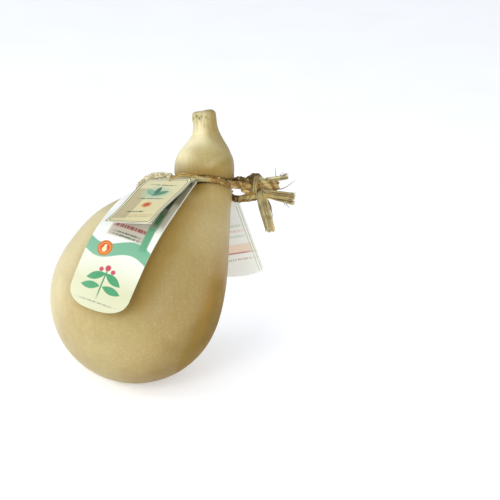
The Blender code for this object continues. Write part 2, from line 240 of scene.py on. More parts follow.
def roll_tube(mesh_data: bmesh.types.BMesh, track: Track, step: float, sides: int,
              outline: Callable[[float, float], tuple[float, float]], tint: float) -> None:
    """Roll a flat grid round a track into a closed tube.

    Args:
        mesh_data: the bmesh that the tube is added to.
        track: the tube's centreline.
        step: distance between rings, in millimetres.
        sides: corners round the tube.
        outline: gives the (binormal, normal) offset in millimetres at a share of the
            length and an angle.
        tint: the tube's own shade, stored for the material.
    """
    steps = max(2, round(track.length / MM / step))
    vectors, numbers = mesh_data.verts.layers.float_vector, mesh_data.verts.layers.float
    if "strand" not in vectors.keys():
        vectors.new("strand")
        numbers.new("tint")
    # A new layer moves the others, so both are looked up only now.
    strand, shade = vectors["strand"], numbers["tint"]
    verts = bmesh.ops.create_grid(mesh_data, x_segments=steps, y_segments=sides,
                                  size=1.0)["verts"]
    for vert in verts:
        share = (vert.co.x + 1) / 2
        angle = math.pi * (vert.co.y + 1)
        across, out = outline(share, angle)
        place, normal, binormal, _ = track.at(share)
        vert[strand] = (across, out, share * track.length / MM)
        vert[shade] = tint
        vert.co = place + (binormal * across + normal * out) * MM
    bmesh.ops.remove_doubles(mesh_data, verts=verts, dist=SEAM_GAP)
    rims = {edge for vert in verts if vert.is_valid for edge in vert.link_edges
            if edge.is_boundary}
    bmesh.ops.holes_fill(mesh_data, edges=list(rims), sides=0)


# ---------------------------------------------------------------- finishes

def linear(code: str) -> tuple[float, float, float, float]:
    """Linear RGBA of an sRGB hex colour such as #aabbcc.

    Args:
        code: the hex colour.

    Returns:
        Its red, green, blue and alpha.
    """
    parts = [int(code[start:start + 2], 16) / 255 for start in (1, 3, 5)]
    bright = [part / 12.92 if part <= 0.04045 else ((part + 0.055) / 1.055) ** 2.4
              for part in parts]
    return bright[0], bright[1], bright[2], 1.0


def plug(node: bpy.types.Node, inputs: dict | Sequence) -> None:
    """Set or link a node's inputs.

    Args:
        node: the node whose inputs are filled.
        inputs: a value, a hex colour, a socket, or a node whose first live output is
            linked, for each input by name or number, or for the first inputs in order.
    """
    named = inputs.items() if isinstance(inputs, dict) else enumerate(inputs)
    for name, value in named:
        socket = node.inputs[name]
        if isinstance(value, bpy.types.Node):
            value = next(output for output in value.outputs if output.enabled)
        if isinstance(value, bpy.types.NodeSocket):
            node.id_data.links.new(value, socket)
        else:
            socket.default_value = linear(value) if isinstance(value, str) else value


class Finish:
    """A Principled material while its nodes are added."""

    def __init__(self, name: str, constants: dict) -> None:
        """Start the material.

        Args:
            name: the material's name.
            constants: what is set on the shader's own sockets.
        """
        self.material = bpy.data.materials.new(name)
        self.material.use_nodes = True
        self.tree = self.material.node_tree
        self.shader = self.tree.nodes["Principled BSDF"]
        plug(self.shader, constants)

    def add_node(self, kind: str, inputs: dict | Sequence = (),
                 stops: Sequence[tuple[float, str]] = (), **settings: object) -> bpy.types.Node:
        """Add one node with its settings, values and links.

        Args:
            kind: the node's type name, less the word ShaderNode.
            inputs: its inputs, as plug takes them.
            stops: place and hex colour of each stop of a colour ramp.
            **settings: the node's own properties.

        Returns:
            The new node.
        """
        made = self.tree.nodes.new("ShaderNode" + kind)
        for name, value in settings.items():
            setattr(made, name, value)
        plug(made, inputs)
        for index, (place, code) in enumerate(stops):
            elements = made.color_ramp.elements
            element = elements[index] if index < len(elements) else elements.new(place)
            element.position = place
            element.color = linear(code)
        return made

    def lay_over(self, under: bpy.types.Node | str, pattern: bpy.types.Node, low: float,
                 high: float, most: float, code: str) -> bpy.types.Node:
        """Lay a colour over another where a pattern goes from low to high.

        Args:
            under: the colour below.
            pattern: what steers the layer.
            low: the pattern's value where the layer starts.
            high: its value where the layer is at its most.
            most: the layer's largest share, 0 to 1.
            code: the layer's hex colour.

        Returns:
            The node with the mixed colour.
        """
        share = self.add_node("MapRange", {"Value": pattern, "From Min": low,
                                           "From Max": high, "To Max": most})
        return self.add_node("Mix", {0: share, 6: under, 7: code}, data_type="RGBA")

    def close(self, inputs: dict) -> bpy.types.Material:
        """Plug the last nodes into the shader and hand over the material."""
        plug(self.shader, inputs)
        return self.material

    def close_grained(self, attribute: str, settings: dict,
                      stops: Sequence[tuple[float, str]],
                      strength: float) -> bpy.types.Material:
        """Close the material with one fine grain that gives both its shades and its relief.

        Args:
            attribute: name of the mesh attribute that the grain follows.
            settings: the grain's inputs.
            stops: place and hex colour of each of its shades.
            strength: how strong its relief is, over 0.1 mm.

        Returns:
            The material.
        """
        place = self.add_node("Attribute", attribute_name=attribute).outputs["Vector"]
        grain = self.add_node("TexNoise", {"Vector": place, **settings})
        tone = self.add_node("ValToRGB", (grain,), stops)
        bump = self.add_node("Bump", {"Height": grain, "Strength": strength,
                                      "Distance": 0.0001})
        return self.close({"Base Color": tone, "Normal": bump})


@dataclass(frozen=True)
class WaxyRind:
    """Stretched-curd rind: smooth, slightly greasy skin, painted cream on its lit left and gold
    on its shaded lower right.
    """

    pale: str = "#eee5b8"
    cream: str = "#c1ae7c"
    straw: str = "#a0905a"
    gold: str = "#96783f"
    amber: str = "#937133"
    brown: str = "#6a582c"
    green: str = "#67651f"

    def build(self) -> bpy.types.Material:
        """The rind's material, which reads the leaning place stored on the mesh.

        Returns:
            The material.
        """
        # Cheese skin: light goes a little way in, so shadows stay warm, with a soft gloss.
        finish = Finish("stretched_curd_rind", {
            "Roughness": 0.42, "IOR": 1.45, "Subsurface Weight": 0.12,
            "Subsurface Scale": 0.006, "Subsurface Radius": (1.0, 0.62, 0.25),
            "Specular IOR Level": 0.45, "Coat Weight": 0.2, "Coat Roughness": 0.34})
        add = finish.add_node
        lean = add("Attribute", attribute_name="lean").outputs["Vector"]
        place = add("SeparateXYZ", (lean,)).outputs
        # Painted light and shade: cream on the left, gold on the lower right; blotches 30 mm
        # across bend the edge between them.
        blotch = add("TexNoise", {"Vector": lean, "Scale": 0.032, "Detail": 3.0,
                                  "Roughness": 0.55})
        side = add("Math", (place[1], -0.45, place[0]), operation="MULTIPLY_ADD")
        edge = add("Math", (blotch, 60.0, side), operation="MULTIPLY_ADD")
        share = add("MapRange", {"Value": edge, "From Min": -45.0, "From Max": 115.0})
        colour = add("ValToRGB", (share,),
                     ((0.0, self.cream), (0.5, self.straw), (1.0, self.gold)))
        # The grain of the streaks is drawn out along the pear, 3 mm apart.
        stretch = add("Mapping", {0: lean, "Rotation": (0.0, 0.0, 0.35),
                                  "Scale": (0.3, 0.02, 0.3)})
        for values, low, high, most, code in (
                # fine mottling 5 mm across, as fat blooms in the skin
                ((lean, 0.19, 4.0, 0.6), 0.35, 0.7, 0.26, self.gold),
                # salt-sized lighter specks, 2 mm apart, where the skin has flaked
                ((lean, 0.5, 3.0, 0.65), 0.5, 0.78, 0.42, self.cream),
                # faint streaks that stretching leaves in the curd
                ((stretch, 1.0, 3.0, 0.5), 0.4, 0.75, 0.12, self.brown)):
            settings = dict(zip(("Vector", "Scale", "Detail", "Roughness"), values))
            colour = finish.lay_over(colour, add("TexNoise", settings), low, high, most, code)
        # Layers from the mesh: pale skin with painted light, amber tone with painted shade and
        # reflection, painted shade in brown, mouldy green.
        ages = {}
        for mask, code in (("pale_and_painted_light", self.pale), ("amber_and_painted_shade", self.amber), ("painted_shade", self.brown),
                           ("greened", self.green)):
            ages[mask] = add("Attribute", attribute_name=mask).outputs["Fac"]
            colour = add("Mix", {0: ages[mask], 6: colour, 7: code}, data_type="RGBA")
        # Gathered skin: folds 1.5 mm apart up the neck and the stem, with painted shade in gold
        # between them.
        drawn = add("Attribute", attribute_name="gathered").outputs["Fac"]
        upright = add("Mapping", {0: lean, "Scale": (0.62, 0.035, 0.62)})
        fold = add("TexNoise", {"Vector": upright, "Scale": 1.0, "Detail": 3.0,
                                "Roughness": 0.6})
        gap = add("MapRange", {"Value": fold, "From Min": 0.5, "From Max": 0.36,
                               "To Max": 0.55})
        between = add("Math", (gap, drawn), operation="MULTIPLY")
        colour = add("Mix", {0: between, 6: colour, 7: self.gold}, data_type="RGBA")
        # Most of the gloss is taken away where painted shade and amber lie.
        dull = add("Math", (ages["painted_shade"], ages["amber_and_painted_shade"]), operation="ADD")
        gloss = {socket: add("MapRange", {"Value": dull, "From Max": 0.8, "To Min": full,
                                          "To Max": 0.05 * full})
                 for socket, full in (("Coat Weight", 0.16), ("Specular IOR Level", 0.42))}
        # Gloss comes and goes over 10 mm, where hands have rubbed the skin.
        rubbed = add("TexNoise", {"Vector": lean, "Scale": 0.09, "Detail": 2.0})
        gloss["Roughness"] = add("MapRange", {"Value": rubbed, "To Min": 0.34,
                                              "To Max": 0.56})
        # Pores and a fine leathery grain, about 1 mm.
        pores = add("TexNoise", {"Vector": lean, "Scale": 0.9, "Detail": 5.0,
                                 "Roughness": 0.6})
        grain = add("Bump", {"Height": pores, "Strength": 0.35, "Distance": 0.0003})
        ridge = add("Math", (fold, drawn), operation="MULTIPLY")
        crease = add("Bump", {"Height": ridge, "Strength": 0.8, "Distance": 0.0016,
                              "Normal": grain})
        return finish.close({"Base Color": colour, "Normal": crease, **gloss})


@dataclass(frozen=True)
class TwistedRush:
    """Dried rush: matt, streaked along each blade, from grey-green to orange-brown."""

    name: str
    dark: str = "#3f2f12"
    umber: str = "#5c461b"
    brown: str = "#8b6826"
    straw: str = "#b99e5e"
    green: str = "#9f9768"
    pale: str = "#dbcfa3"

    def build(self) -> bpy.types.Material:
        """The rope's material, streaked along the strand stored on the mesh.

        Returns:
            The material.
        """
        # Dried plant stem: no gloss but a faint silky edge where the fibres lie along it.
        finish = Finish(self.name, {"Roughness": 0.78, "IOR": 1.47, "Sheen Weight": 0.12,
                                    "Sheen Roughness": 0.5})
        add = finish.add_node
        strand = add("Attribute", attribute_name="strand").outputs["Vector"]
        tint = add("Attribute", attribute_name="tint").outputs["Fac"]
        # Fibres are 0.7 mm wide and run for about 11 mm.
        along = add("Mapping", {0: strand, "Scale": (1.4, 1.4, 0.09)})
        fibre = add("TexNoise", {"Vector": along, "Scale": 1.0, "Detail": 4.0,
                                 "Roughness": 0.65})
        # The dye of the dried stem drifts over about 7 mm.
        patchy = add("TexNoise", {"Vector": strand, "Scale": 0.14, "Detail": 2.0})
        drift = add("Math", (patchy, 0.9, -0.45), operation="MULTIPLY_ADD")
        drifted = add("Math", (tint, drift), operation="ADD")
        family = add("ValToRGB", (drifted,),
                     ((0.0, self.umber), (0.2, self.brown), (0.45, self.straw),
                      (0.7, self.green), (1.0, self.pale)))
        # Darker where the fibre grain sinks and paler where it rises: painted shade in the
        # grooves between fibres and a painted highlight on them.
        groove_shaded = finish.lay_over(family, fibre, 0.52, 0.32, 0.75, self.dark)
        lit = finish.lay_over(groove_shaded, fibre, 0.58, 0.78, 0.42, self.pale)
        relief = add("Bump", {"Height": fibre, "Strength": 0.6, "Distance": 0.0004})
        return finish.close({"Base Color": lit, "Normal": relief})


class PatchShape(Enum):
    """Outline of a field of colour on a card."""

    BOX = "box"
    DISC = "disc"
    RING = "ring"
    LEAF = "leaf"
    WAVE = "wave"
    DASHES = "dashes"
    FRAME = "frame"


@dataclass(frozen=True)
class Patch:
    """One field of colour, in flat millimetres from the middle of the card's top edge."""

    shape: PatchShape
    centre: tuple[float, float]
    half: tuple[float, float]
    colour: str
    turn: float = 0.0  # degrees
    soft: float = 0.3  # how far its edge blurs to each side
    strength: float = 1.0
    line: float = 0.35  # half width of a frame's line
    corner: float = 3.4  # radius of a frame's corners

    def mask(self, finish: Finish, sheet: bpy.types.NodeSocket) -> bpy.types.Node:
        """Nodes that are 1 inside the patch and 0 outside.

        Args:
            finish: the card's finish.
            sheet: the flat place on the card, in millimetres.

        Returns:
            The node with the mask.
        """
        add = finish.add_node
        size = (1.0, 1.0) if self.shape is PatchShape.FRAME else self.half
        local = add("Mapping", {0: sheet, "Location": (*self.centre, 0.0),
                                "Rotation": (0.0, 0.0, math.radians(self.turn)),
                                "Scale": (*size, 1.0)}, vector_type="TEXTURE")
        if self.shape in (PatchShape.DISC, PatchShape.RING, PatchShape.FRAME):
            reach = self.round_reach(finish, local)
        else:
            across, height = add("SeparateXYZ", (local,)).outputs[:2]
            if self.shape is PatchShape.WAVE:
                # A bit over one full swing across the card, 0.7 of the band's half height.
                phase = add("Math", (across, 3.3), operation="MULTIPLY")
                swing = add("Math", (phase,), operation="SINE")
                height = add("Math", (swing, 0.7, height), operation="MULTIPLY_ADD")
            wide = add("Math", (across,), operation="ABSOLUTE")
            high = add("Math", (height,), operation="ABSOLUTE")
            if self.shape is PatchShape.LEAF:
                reach = add("Math", (wide, wide, high), operation="MULTIPLY_ADD")
            else:
                reach = add("Math", (wide, high), operation="MAXIMUM")
        blur = min(0.6, self.soft / min(self.half))
        inside = add("MapRange", {"Value": reach, "From Min": 1.0 - blur,
                                  "From Max": 1.0 + blur, "To Min": self.strength,
                                  "To Max": 0.0}, interpolation_type="SMOOTHSTEP")
        if self.shape is PatchShape.DASHES:
            # Uneven bars, 1 to 3 mm long, with a row of their own for each patch.
            row = add("Mapping", {0: sheet, "Scale": (0.71, 0.0, 0.0),
                                  "Location": (self.centre[1], 0.0, 0.0)})
            bars = add("TexNoise", {"Vector": row, "Scale": 1.0, "Detail": 1.0})
            gate = add("MapRange", {"Value": bars, "From Min": 0.42, "From Max": 0.47})
            inside = add("Math", (inside, gate), operation="MULTIPLY")
        return inside

    def round_reach(self, finish: Finish, local: bpy.types.Node) -> bpy.types.Node:
        """Distance from a disc's centre or from a line's middle, 1 at the patch's edge.

        Args:
            finish: the card's finish.
            local: the place from the patch's centre.

        Returns:
            The node with the distance.
        """
        add = finish.add_node
        # The ring's line lies at 0.87 of its radius and is 0.13 to each side.
        middle, width = 0.87, 0.13
        if self.shape is PatchShape.FRAME:
            # Measured from a box that is smaller by the corner's radius.
            middle, width = self.corner, self.line
            inner = (self.half[0] - self.corner, self.half[1] - self.corner, 0.0)
            folded = add("VectorMath", (local,), operation="ABSOLUTE")
            past = add("VectorMath", (folded, inner), operation="SUBTRACT")
            local = add("VectorMath", (past, (0.0, 0.0, 0.0)), operation="MAXIMUM")
        reach = add("VectorMath", (local,), operation="LENGTH")
        if self.shape is PatchShape.DISC:
            return reach
        off = add("Math", (reach, middle), operation="SUBTRACT")
        away = add("Math", (off,), operation="ABSOLUTE")
        return add("Math", (away, width), operation="DIVIDE")


@dataclass(frozen=True)
class PrintedCard:
    """Coated card, offset printed: flat fields of ink under a thin satin varnish."""

    name: str
    top_paper: str
    low_paper: str
    change: tuple[float, float]  # where the top paper's colour starts and ends turning
    patches: tuple[Patch, ...]
    translucent: float = 0.0

    def build(self) -> bpy.types.Material:
        """The printed side's material.

        Returns:
            The material.
        """
        # Varnished card: an even, soft gloss over the ink; thin stock lets light through.
        finish = Finish(self.name, {
            "IOR": 1.5, "Roughness": 0.4, "Coat Weight": 0.15, "Coat Roughness": 0.3,
            "Subsurface Weight": self.translucent, "Subsurface Scale": 0.003,
            "Subsurface Radius": (1.0, 1.0, 1.0)})
        add = finish.add_node
        sheet = add("Attribute", attribute_name="sheet").outputs["Vector"]
        fallen = add("SeparateXYZ", (sheet,)).outputs[1]
        colour = finish.lay_over(self.top_paper, fallen, *self.change, 1.0, self.low_paper)
        for patch in self.patches:
            colour = add("Mix", {0: patch.mask(finish, sheet), 6: colour, 7: patch.colour},
                         data_type="RGBA")
        # Paper fibre shows through as a very slight clouding, 2 mm across.
        cloud = add("TexNoise", {"Vector": sheet, "Scale": 0.5, "Detail": 3.0})
        clouded = finish.lay_over(colour, cloud, 0.45, 0.75, 0.1, "#b9b59a")
        tooth = add("TexNoise", {"Vector": sheet, "Scale": 2.5})
        bump = add("Bump", {"Height": tooth, "Strength": 0.1, "Distance": 0.0001})
        return finish.close({"Base Color": clouded, "Normal": bump})


@dataclass(frozen=True)
class BareBoard:
    """Uncoated back and cut edge of the card: off-white pulp with a dry tooth."""

    colour: str = "#d9d8c6"
    shade: str = "#b7b39b"

    def build(self) -> bpy.types.Material:
        """The board's material.

        Returns:
            The material.
        """
        # Pulp board: matt, with fibres under 1 mm that cloud it slightly.
        finish = Finish("uncoated_board", {"Roughness": 0.85, "IOR": 1.5})
        return finish.close_grained("sheet", {"Scale": 1.4, "Detail": 4.0},
                                    ((0.3, self.shade), (0.65, self.colour)), 0.3)


@dataclass(frozen=True)
class GoldThread:
    """Metallised yarn wound on a core: a bright, slightly rough foil with dark gaps."""

    bright: str = "#d2b065"
    deep: str = "#7d6434"

    def build(self) -> bpy.types.Material:
        """The thread's material.

        Returns:
            The material.
        """
        # Metallised film: partly metallic, with its glitter broken up by the winding.
        finish = Finish("metallised_yarn", {"Metallic": 0.4, "Roughness": 0.38})
        return finish.close_grained("strand", {"Scale": 2.4, "Detail": 2.0},
                                    ((0.35, self.deep), (0.6, self.bright)), 0.4)


# ---------------------------------------------------------------- studio

@dataclass
class Studio:
    """Camera at the photograph's angle, a white floor and soft lights."""

    aim: Point = (99.66, 41.65, 0.0)  # the leaning place in the middle of the picture
    distance: float = 1.2
    lens: float = 98.74
    world_strength: float = 0.62
    floor_glow: float = 0.3
    floor_size: float = 8.0
    lit_place: Point = (0.0, 0.0, 0.09)
    softboxes: tuple[tuple[str, Point, float, float], ...] = (
        # name, place and side in metres, power in watts
        ("key_softbox", (-0.75, -1.35, 1.05), 0.7, 8.8),
        ("left_softbox", (-1.6, -0.2, 0.9), 1.0, 11.0),
        ("right_softbox", (0.85, -1.65, 0.65), 0.8, 17.5))

    def build(self) -> None:
        """Make the camera, the floor and the lights."""
        self.place_camera()
        self.lay_floor()
        self.light()

    @staticmethod
    def mount(data: bpy.types.ID, place: Vector, heading: Vector) -> bpy.types.Object:
        """Put a camera or a light at a place in metres, looking along its heading.

        Args:
            data: the camera's or light's settings.
            place: where it stands.
            heading: where it looks.

        Returns:
            The new object.
        """
        made = bpy.data.objects.new(data.name, data)
        bpy.context.scene.collection.objects.link(made)
        made.location = place
        made.rotation_mode = "QUATERNION"
        made.rotation_quaternion = heading.to_track_quat("-Z", "Y")
        return made

    def place_camera(self) -> None:
        """The camera looks along +Y, 24 degrees down."""
        data = bpy.data.cameras.new("studio_camera")
        data.sensor_width = 36.0
        data.lens = self.lens
        data.clip_start = 0.05
        data.clip_end = 40.0
        bpy.context.scene.camera = self.mount(
            data, leaning(*self.aim) + FRONT * self.distance, -FRONT)

    def lay_floor(self) -> None:
        """A plain white floor."""
        # White paper sweep: even and matt, so only soft shadows show on it, and lit through
        # from below, as a product table is, so it stays white round the cheese.
        finish = Finish("white_paper_sweep", {
            "Roughness": 0.7, "Emission Color": "#f3f8ff", "Emission Strength": self.floor_glow})
        tooth = finish.add_node("TexNoise", {"Scale": 90.0, "Detail": 2.0})
        tone = finish.add_node("ValToRGB", (tooth,), ((0.3, "#f7f7f7"), (0.7, "#fbfbfb")))
        floor = bmesh.new()
        bmesh.ops.create_grid(floor, x_segments=1, y_segments=1, size=self.floor_size / 2)
        as_object("studio_floor", floor, [finish.close({"Base Color": tone})])

    def light(self) -> None:
        """A broad key from the front left, two fills, and an even white surround."""
        scene = bpy.context.scene
        scene.view_settings.view_transform = "Standard"
        scene.world = bpy.data.worlds.new("studio_surround")
        scene.world.use_nodes = True
        plug(scene.world.node_tree.nodes["Background"],
             {"Color": "#f6f9ff", "Strength": self.world_strength})
        for name, place, side, power in self.softboxes:
            data = bpy.data.lights.new(name, "AREA")
            data.shape = "SQUARE"
            data.size = side
            data.energy = power
            self.mount(data, Vector(place), Vector(self.lit_place) - Vector(place))


# ---------------------------------------------------------------- cheese

SkinPlace = tuple[float, ...]


def spot(place: Vector, right: float, up: float, wide: float, high: float) -> float:
    """A soft spot on the skin: 1 at its middle, fading over wide and high."""
    return math.exp(-((place.x - right) / wide) ** 2 - ((place.y - up) / high) ** 2)


def all_spots(place: Vector, spots: Sequence[SkinPlace]) -> float:
    """Sum of soft spots, each given as its strength, right, up, wide and high."""
    return sum(strength * spot(place, *where) for strength, *where in spots)


@dataclass
class Cheese:
    """The pear body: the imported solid's own form, made finer, with its skin's relief."""

    rind: bpy.types.Material
    weld: float = 1e-6  # in metres, as is the next
    near_floor: float = 1e-5
    foot_crease: float = 0.8  # how sharp the foot's edge stays, 0 to 1
    skin_levels: int = 2
    stem_bottom: float = 121.0  # up, in the leaning frame
    stem_axis: float = 60.5  # right, in the leaning frame
    relief_start: float = 4.0  # height over the floor where the skin's relief is whole
    # the pear's axis: its direction (right, up), and how far right it goes for 1 up
    axis_way: tuple[float, float] = (0.42, 0.91)
    axis_slope: float = 0.47
    # half width of the belly, what it loses for 1 along the axis, and the least that it has
    belly_half: float = 76.0
    belly_taper: float = 0.25
    neck_half: float = 20.0
    # the crease on the head's right: where it starts (right, up), and its direction
    crease_start: tuple[float, float] = (57.3, 107.8)
    crease_way: tuple[float, float] = (0.881, 0.473)
    # the long card's right edge, seen from the front: a place on it, how far right it goes
    # for 1 up, and the cosine of that slope
    card_edge: tuple[float, float] = (30.3, 61.9)
    card_slope: float = 0.513
    card_cosine: float = 0.889
    # the stem's folded lip: right, up, wide, high, and how far it is pulled up and left
    flap: SkinPlace = (51.0, 158.2, 4.6, 4.6)
    flap_shift: tuple[float, float] = (2.4, 0.8)
    pits: tuple[SkinPlace, ...] = (
        # right, up, radius, depth, in millimetres: small holes under the stem's folded lip
        (50.8, 155.0, 0.9, 0.6), (53.4, 156.6, 0.9, 1.1), (55.6, 155.6, 1.1, 1.3),
        (57.6, 157.8, 0.9, 1.1), (61.8, 157.0, 0.9, 0.9), (63.8, 155.6, 0.6, 0.5))
    # strength, right, up, wide, high, in millimetres: places of painted light, of painted shade,
    # and greener places
    painted_light_spots: tuple[SkinPlace, ...] = (
        (0.19, 67.0, 62.0, 20.0, 24.0), (0.18, -26.0, 66.0, 16.0, 14.0),
        (0.1, -14.0, -42.0, 28.0, 16.0))
    painted_shade_spots: tuple[SkinPlace, ...] = (
        (0.24, 28.0, 4.0, 34.0, 34.0), (0.3, 57.0, 94.0, 7.0, 6.0))
    green_spots: tuple[SkinPlace, ...] = (
        (0.35, 54.0, 156.5, 6.0, 4.615), (0.3, 79.0, 118.0, 8.0, 5.0))
    # strength, height over the rope and its reach, right and its reach: painted shade beside the
    # rope
    rope_painted_shade: tuple[SkinPlace, ...] = (
        (0.8, -7.0, 6.0, 54.0, 9.0), (0.5, 5.0, 5.0, 56.0, 12.0), (0.5, -5.0, 4.0, 78.0, 8.0))

    def build(self) -> bpy.types.Object:
        """Make the cheese.

        Returns:
            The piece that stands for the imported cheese.
        """
        body = bmesh.new()
        body.from_mesh(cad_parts["cheese"].data)
        bmesh.ops.remove_doubles(body, verts=body.verts, dist=self.weld)
        bmesh.ops.join_triangles(body, faces=body.faces, angle_face_threshold=0.6,
                                 angle_shape_threshold=1.2)
        stem_edges = [edge for edge in body.edges
                      if all(leaning_place(vert.co).y > self.stem_bottom for vert in edge.verts)]
        bmesh.ops.subdivide_edges(body, edges=stem_edges, cuts=1, use_grid_fill=True)
        crease = body.edges.layers.float.new("crease_edge")
        for edge in body.edges:
            on_floor = [abs(vert.co.z) < self.near_floor for vert in edge.verts]
            walls = [face for face in edge.link_faces if abs(face.normal.z) < 0.995]
            if all(on_floor) and len(walls) == 1:
                edge[crease] = self.foot_crease
        made = as_object("cheese_body", body, [self.rind], sharp_angle=180.0)
        skin = made.modifiers.new("skin", "SUBSURF")
        skin.levels = skin.render_levels = self.skin_levels
        bpy.context.view_layer.update()
        settled = made.evaluated_get(bpy.context.evaluated_depsgraph_get())
        fine = bpy.data.meshes.new_from_object(settled)
        made.modifiers.clear()
        made.data = fine
        self.carve(fine)
        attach(made, "root")
        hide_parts("cheese")
        return made

    def carve(self, mesh: bpy.types.Mesh) -> None:
        """Move the skin by its relief and store what the material reads.

        Args:
            mesh: the fine skin.
        """
        mesh.attributes.new("lean", "FLOAT_VECTOR", "POINT")
        names = ("pale_and_painted_light", "amber_and_painted_shade", "painted_shade", "greened", "gathered")
        for mask in names:
            mesh.attributes.new(mask, "FLOAT", "POINT")
        lean = mesh.attributes["lean"]
        masks = [mesh.attributes[mask] for mask in names]
        outward = [normal.vector.copy() for normal in mesh.vertex_normals]
        pull = UP * self.flap_shift[0] - RIGHT * self.flap_shift[1]
        for index, vert in enumerate(mesh.vertices):
            place = leaning_place(vert.co)
            lean.data[index].vector = place
            shares = (*self.ages(place), self.greened(place), self.gathered(place))
            for mask, share in zip(masks, shares):
                mask.data[index].value = share
            if vert.co.z > 10 * self.near_floor:
                keep = ramp(vert.co.z / MM, 0.0, self.relief_start)
                shift = outward[index] * (self.relief(place) * keep)
                shift += pull * spot(place, *self.flap) - RING_AXIS * self.lip_droop(place)
                vert.co = vert.co + shift * MM
        mesh.update()

    def ages(self, place: Vector) -> tuple[float, float, float]:
        """Shares of pale skin and painted light, of amber tone and painted shade, and of painted
        shade at a place, each 0 to 1.

        Args:
            place: the leaning place, in millimetres.

        Returns:
            The three shares.
        """
        right, up, front = place
        cloud = ridged(right / 15, up / 15, front / 15)
        height = self.over_ring(place)
        # Across the pear, from -1 on its left outline to 1 on its right, and its low half.
        along = max(0.0, self.axis_way[1] * up + self.axis_way[0] * right)
        half = max(self.neck_half, self.belly_half - self.belly_taper * along)
        across = (right - self.axis_slope * up) / half
        low = 1 - ramp(up, -14.0, 64.0)
        turned = 0.2 + 0.8 * ramp(front, -12.0, 40.0)
        # Pale: painted light on the left of the head and the belly, where the key light falls,
        # and the stem's paler skin.
        stem = ramp(up, 128.0, 142.0)
        side = (self.stem_axis - right) / (25.0 - 14.0 * stem)
        pale_and_painted_light = ramp(up, 110.0, 124.0) * (ramp(side, -0.5, 0.35) * stem
                                          + ramp(side, 0.15, 0.95) * (1 - stem))
        pale_and_painted_light += 0.5 * ramp(-across, 0.55, 1.0) * (1 - ramp(up, 70.0, 100.0))
        pale_and_painted_light += 0.4 * falloff(up, 136.0, 11.0) * ramp(side, -1.0, 0.1)
        pale_and_painted_light *= 1 - 0.3 * ramp(up, 131.0, 142.0)
        # Painted shade: under the rope, and on the belly's lower right.
        share, wide = (0.85, 9.0) if height > 0 else (0.5, 8.0)
        painted_shade = share * falloff(height, 0.5, wide) * (0.35 + 0.65 * ramp(right, 36.0, 56.0))
        painted_shade += turned * low * (
            0.72 * ramp(right - 0.2 * up + 6 * cloud, 60.0, 88.0)
            + 0.28 * ramp(0.8 * right - 0.55 * up + 6 * cloud, 32.0, 72.0))
        painted_shade += 0.38 * (0.4 + 0.6 * ramp(front, -50.0, 10.0)) * ramp(
            0.55 * right - 0.83 * up + 5 * cloud, 36.0, 70.0)
        # Amber: a painted orange reflection along the belly's right outline, and an amber tone
        # in random patches.
        amber_and_painted_shade = 0.8 * turned * ramp(across, 0.78, 1.0) * low + 0.12 * max(0.0, cloud)
        if front > 0:
            # The cheese's front, with spots of painted light and shade, and the long card's
            # painted shadow beside its right edge.
            deep, off = self.from_crease(place)
            edge = self.card_edge[0] + self.card_slope * (up - self.card_edge[1])
            beside = self.card_cosine * (right - edge)
            card_shadow = falloff(beside, 3.0, 15.0) * plateau(up, -22.0, 4.0, 78.0, 96.0)
            # Painted light in spots, and a painted highlight just above the crease on the head's
            # right.
            pale_and_painted_light += all_spots(place, self.painted_light_spots) + 0.08 * deep * falloff(off, 3.0, 2.5)
            # Painted shade beside the rope and under the crease, the long card's painted shadow,
            # and an amber strip up the stem's right side.
            amber_and_painted_shade += sum(strength * falloff(height, over, thick) * falloff(right, aside, wide)
                        for strength, over, thick, aside, wide in self.rope_painted_shade)
            amber_and_painted_shade += 0.2 * falloff(height, 8.0, 6.0) * ramp(right, 44.0, 66.0)
            amber_and_painted_shade += 0.2 * deep * plateau(-off, -1.5, 2.5, 2.5, 9.0) + 0.65 * card_shadow
            amber_and_painted_shade += 0.3 * falloff(right, 68.0, 2.6) * ramp(up, 140.0, 146.0)
            # Painted shade: a darker middle of the belly, the rope's shadow, and shadow along
            # the long card and under its end.
            painted_shade += all_spots(place, self.painted_shade_spots)
            painted_shade += 0.3 * card_shadow * (1 - ramp(up, 40.0, 80.0))
            painted_shade += 0.2 * falloff(math.hypot(right + 20, up - 15), 25.0, 6.0) * (
                1 - ramp(up, 5.0, 25.0))
        return min(1.0, 0.85 * pale_and_painted_light), min(0.9, amber_and_painted_shade), min(0.9, painted_shade)

    def from_crease(self, place: Vector) -> tuple[float, float]:
        """How deep the crease on the head's right is at a place, and the height over it.

        Args:
            place: the leaning place, in millimetres.

        Returns:
            The depth, 0 to 1, and the height in millimetres.
        """
        right, up = place.x - self.crease_start[0], place.y - self.crease_start[1]
        cosine, sine = self.crease_way
        along = cosine * right + sine * up
        depth = plateau(along, 2.0, 9.0, 24.0, 33.0) * ramp(place.z, 0.0, 6.0)
        return depth, cosine * up - sine * right

    def greened(self, place: Vector) -> float:
        """How green the skin has turned, round the stem's pits and on the head's right.

        Args:
            place: the leaning place, in millimetres.

        Returns:
            The share of green, 0 to 0.85.
        """
        if place.z < 0:
            return 0.0
        green = all_spots(place, self.green_spots)
        for right, up, radius, _ in self.pits:
            green += 0.6 * spot(place, right, up, 0.9 * radius, 1.2 * radius)
        return min(0.85, green)

    def gathered(self, place: Vector) -> float:
        """How strongly the skin is drawn into folds that run up the pear, 0 to 1.

        Args:
            place: the leaning place, in millimetres.

        Returns:
            The strength.
        """
        height = self.over_ring(place)
        folds = 0.85 * ramp(place.y, 140.0, 149.0)
        if height > 0:
            left = ramp(60.0 - place.x, -10.0, 22.0)
            folds += (0.3 + 0.7 * left) * falloff(height, 3.0, 15.0)
        else:
            folds += 0.5 * falloff(height, -2.0, 14.0)
        return min(1.0, folds)

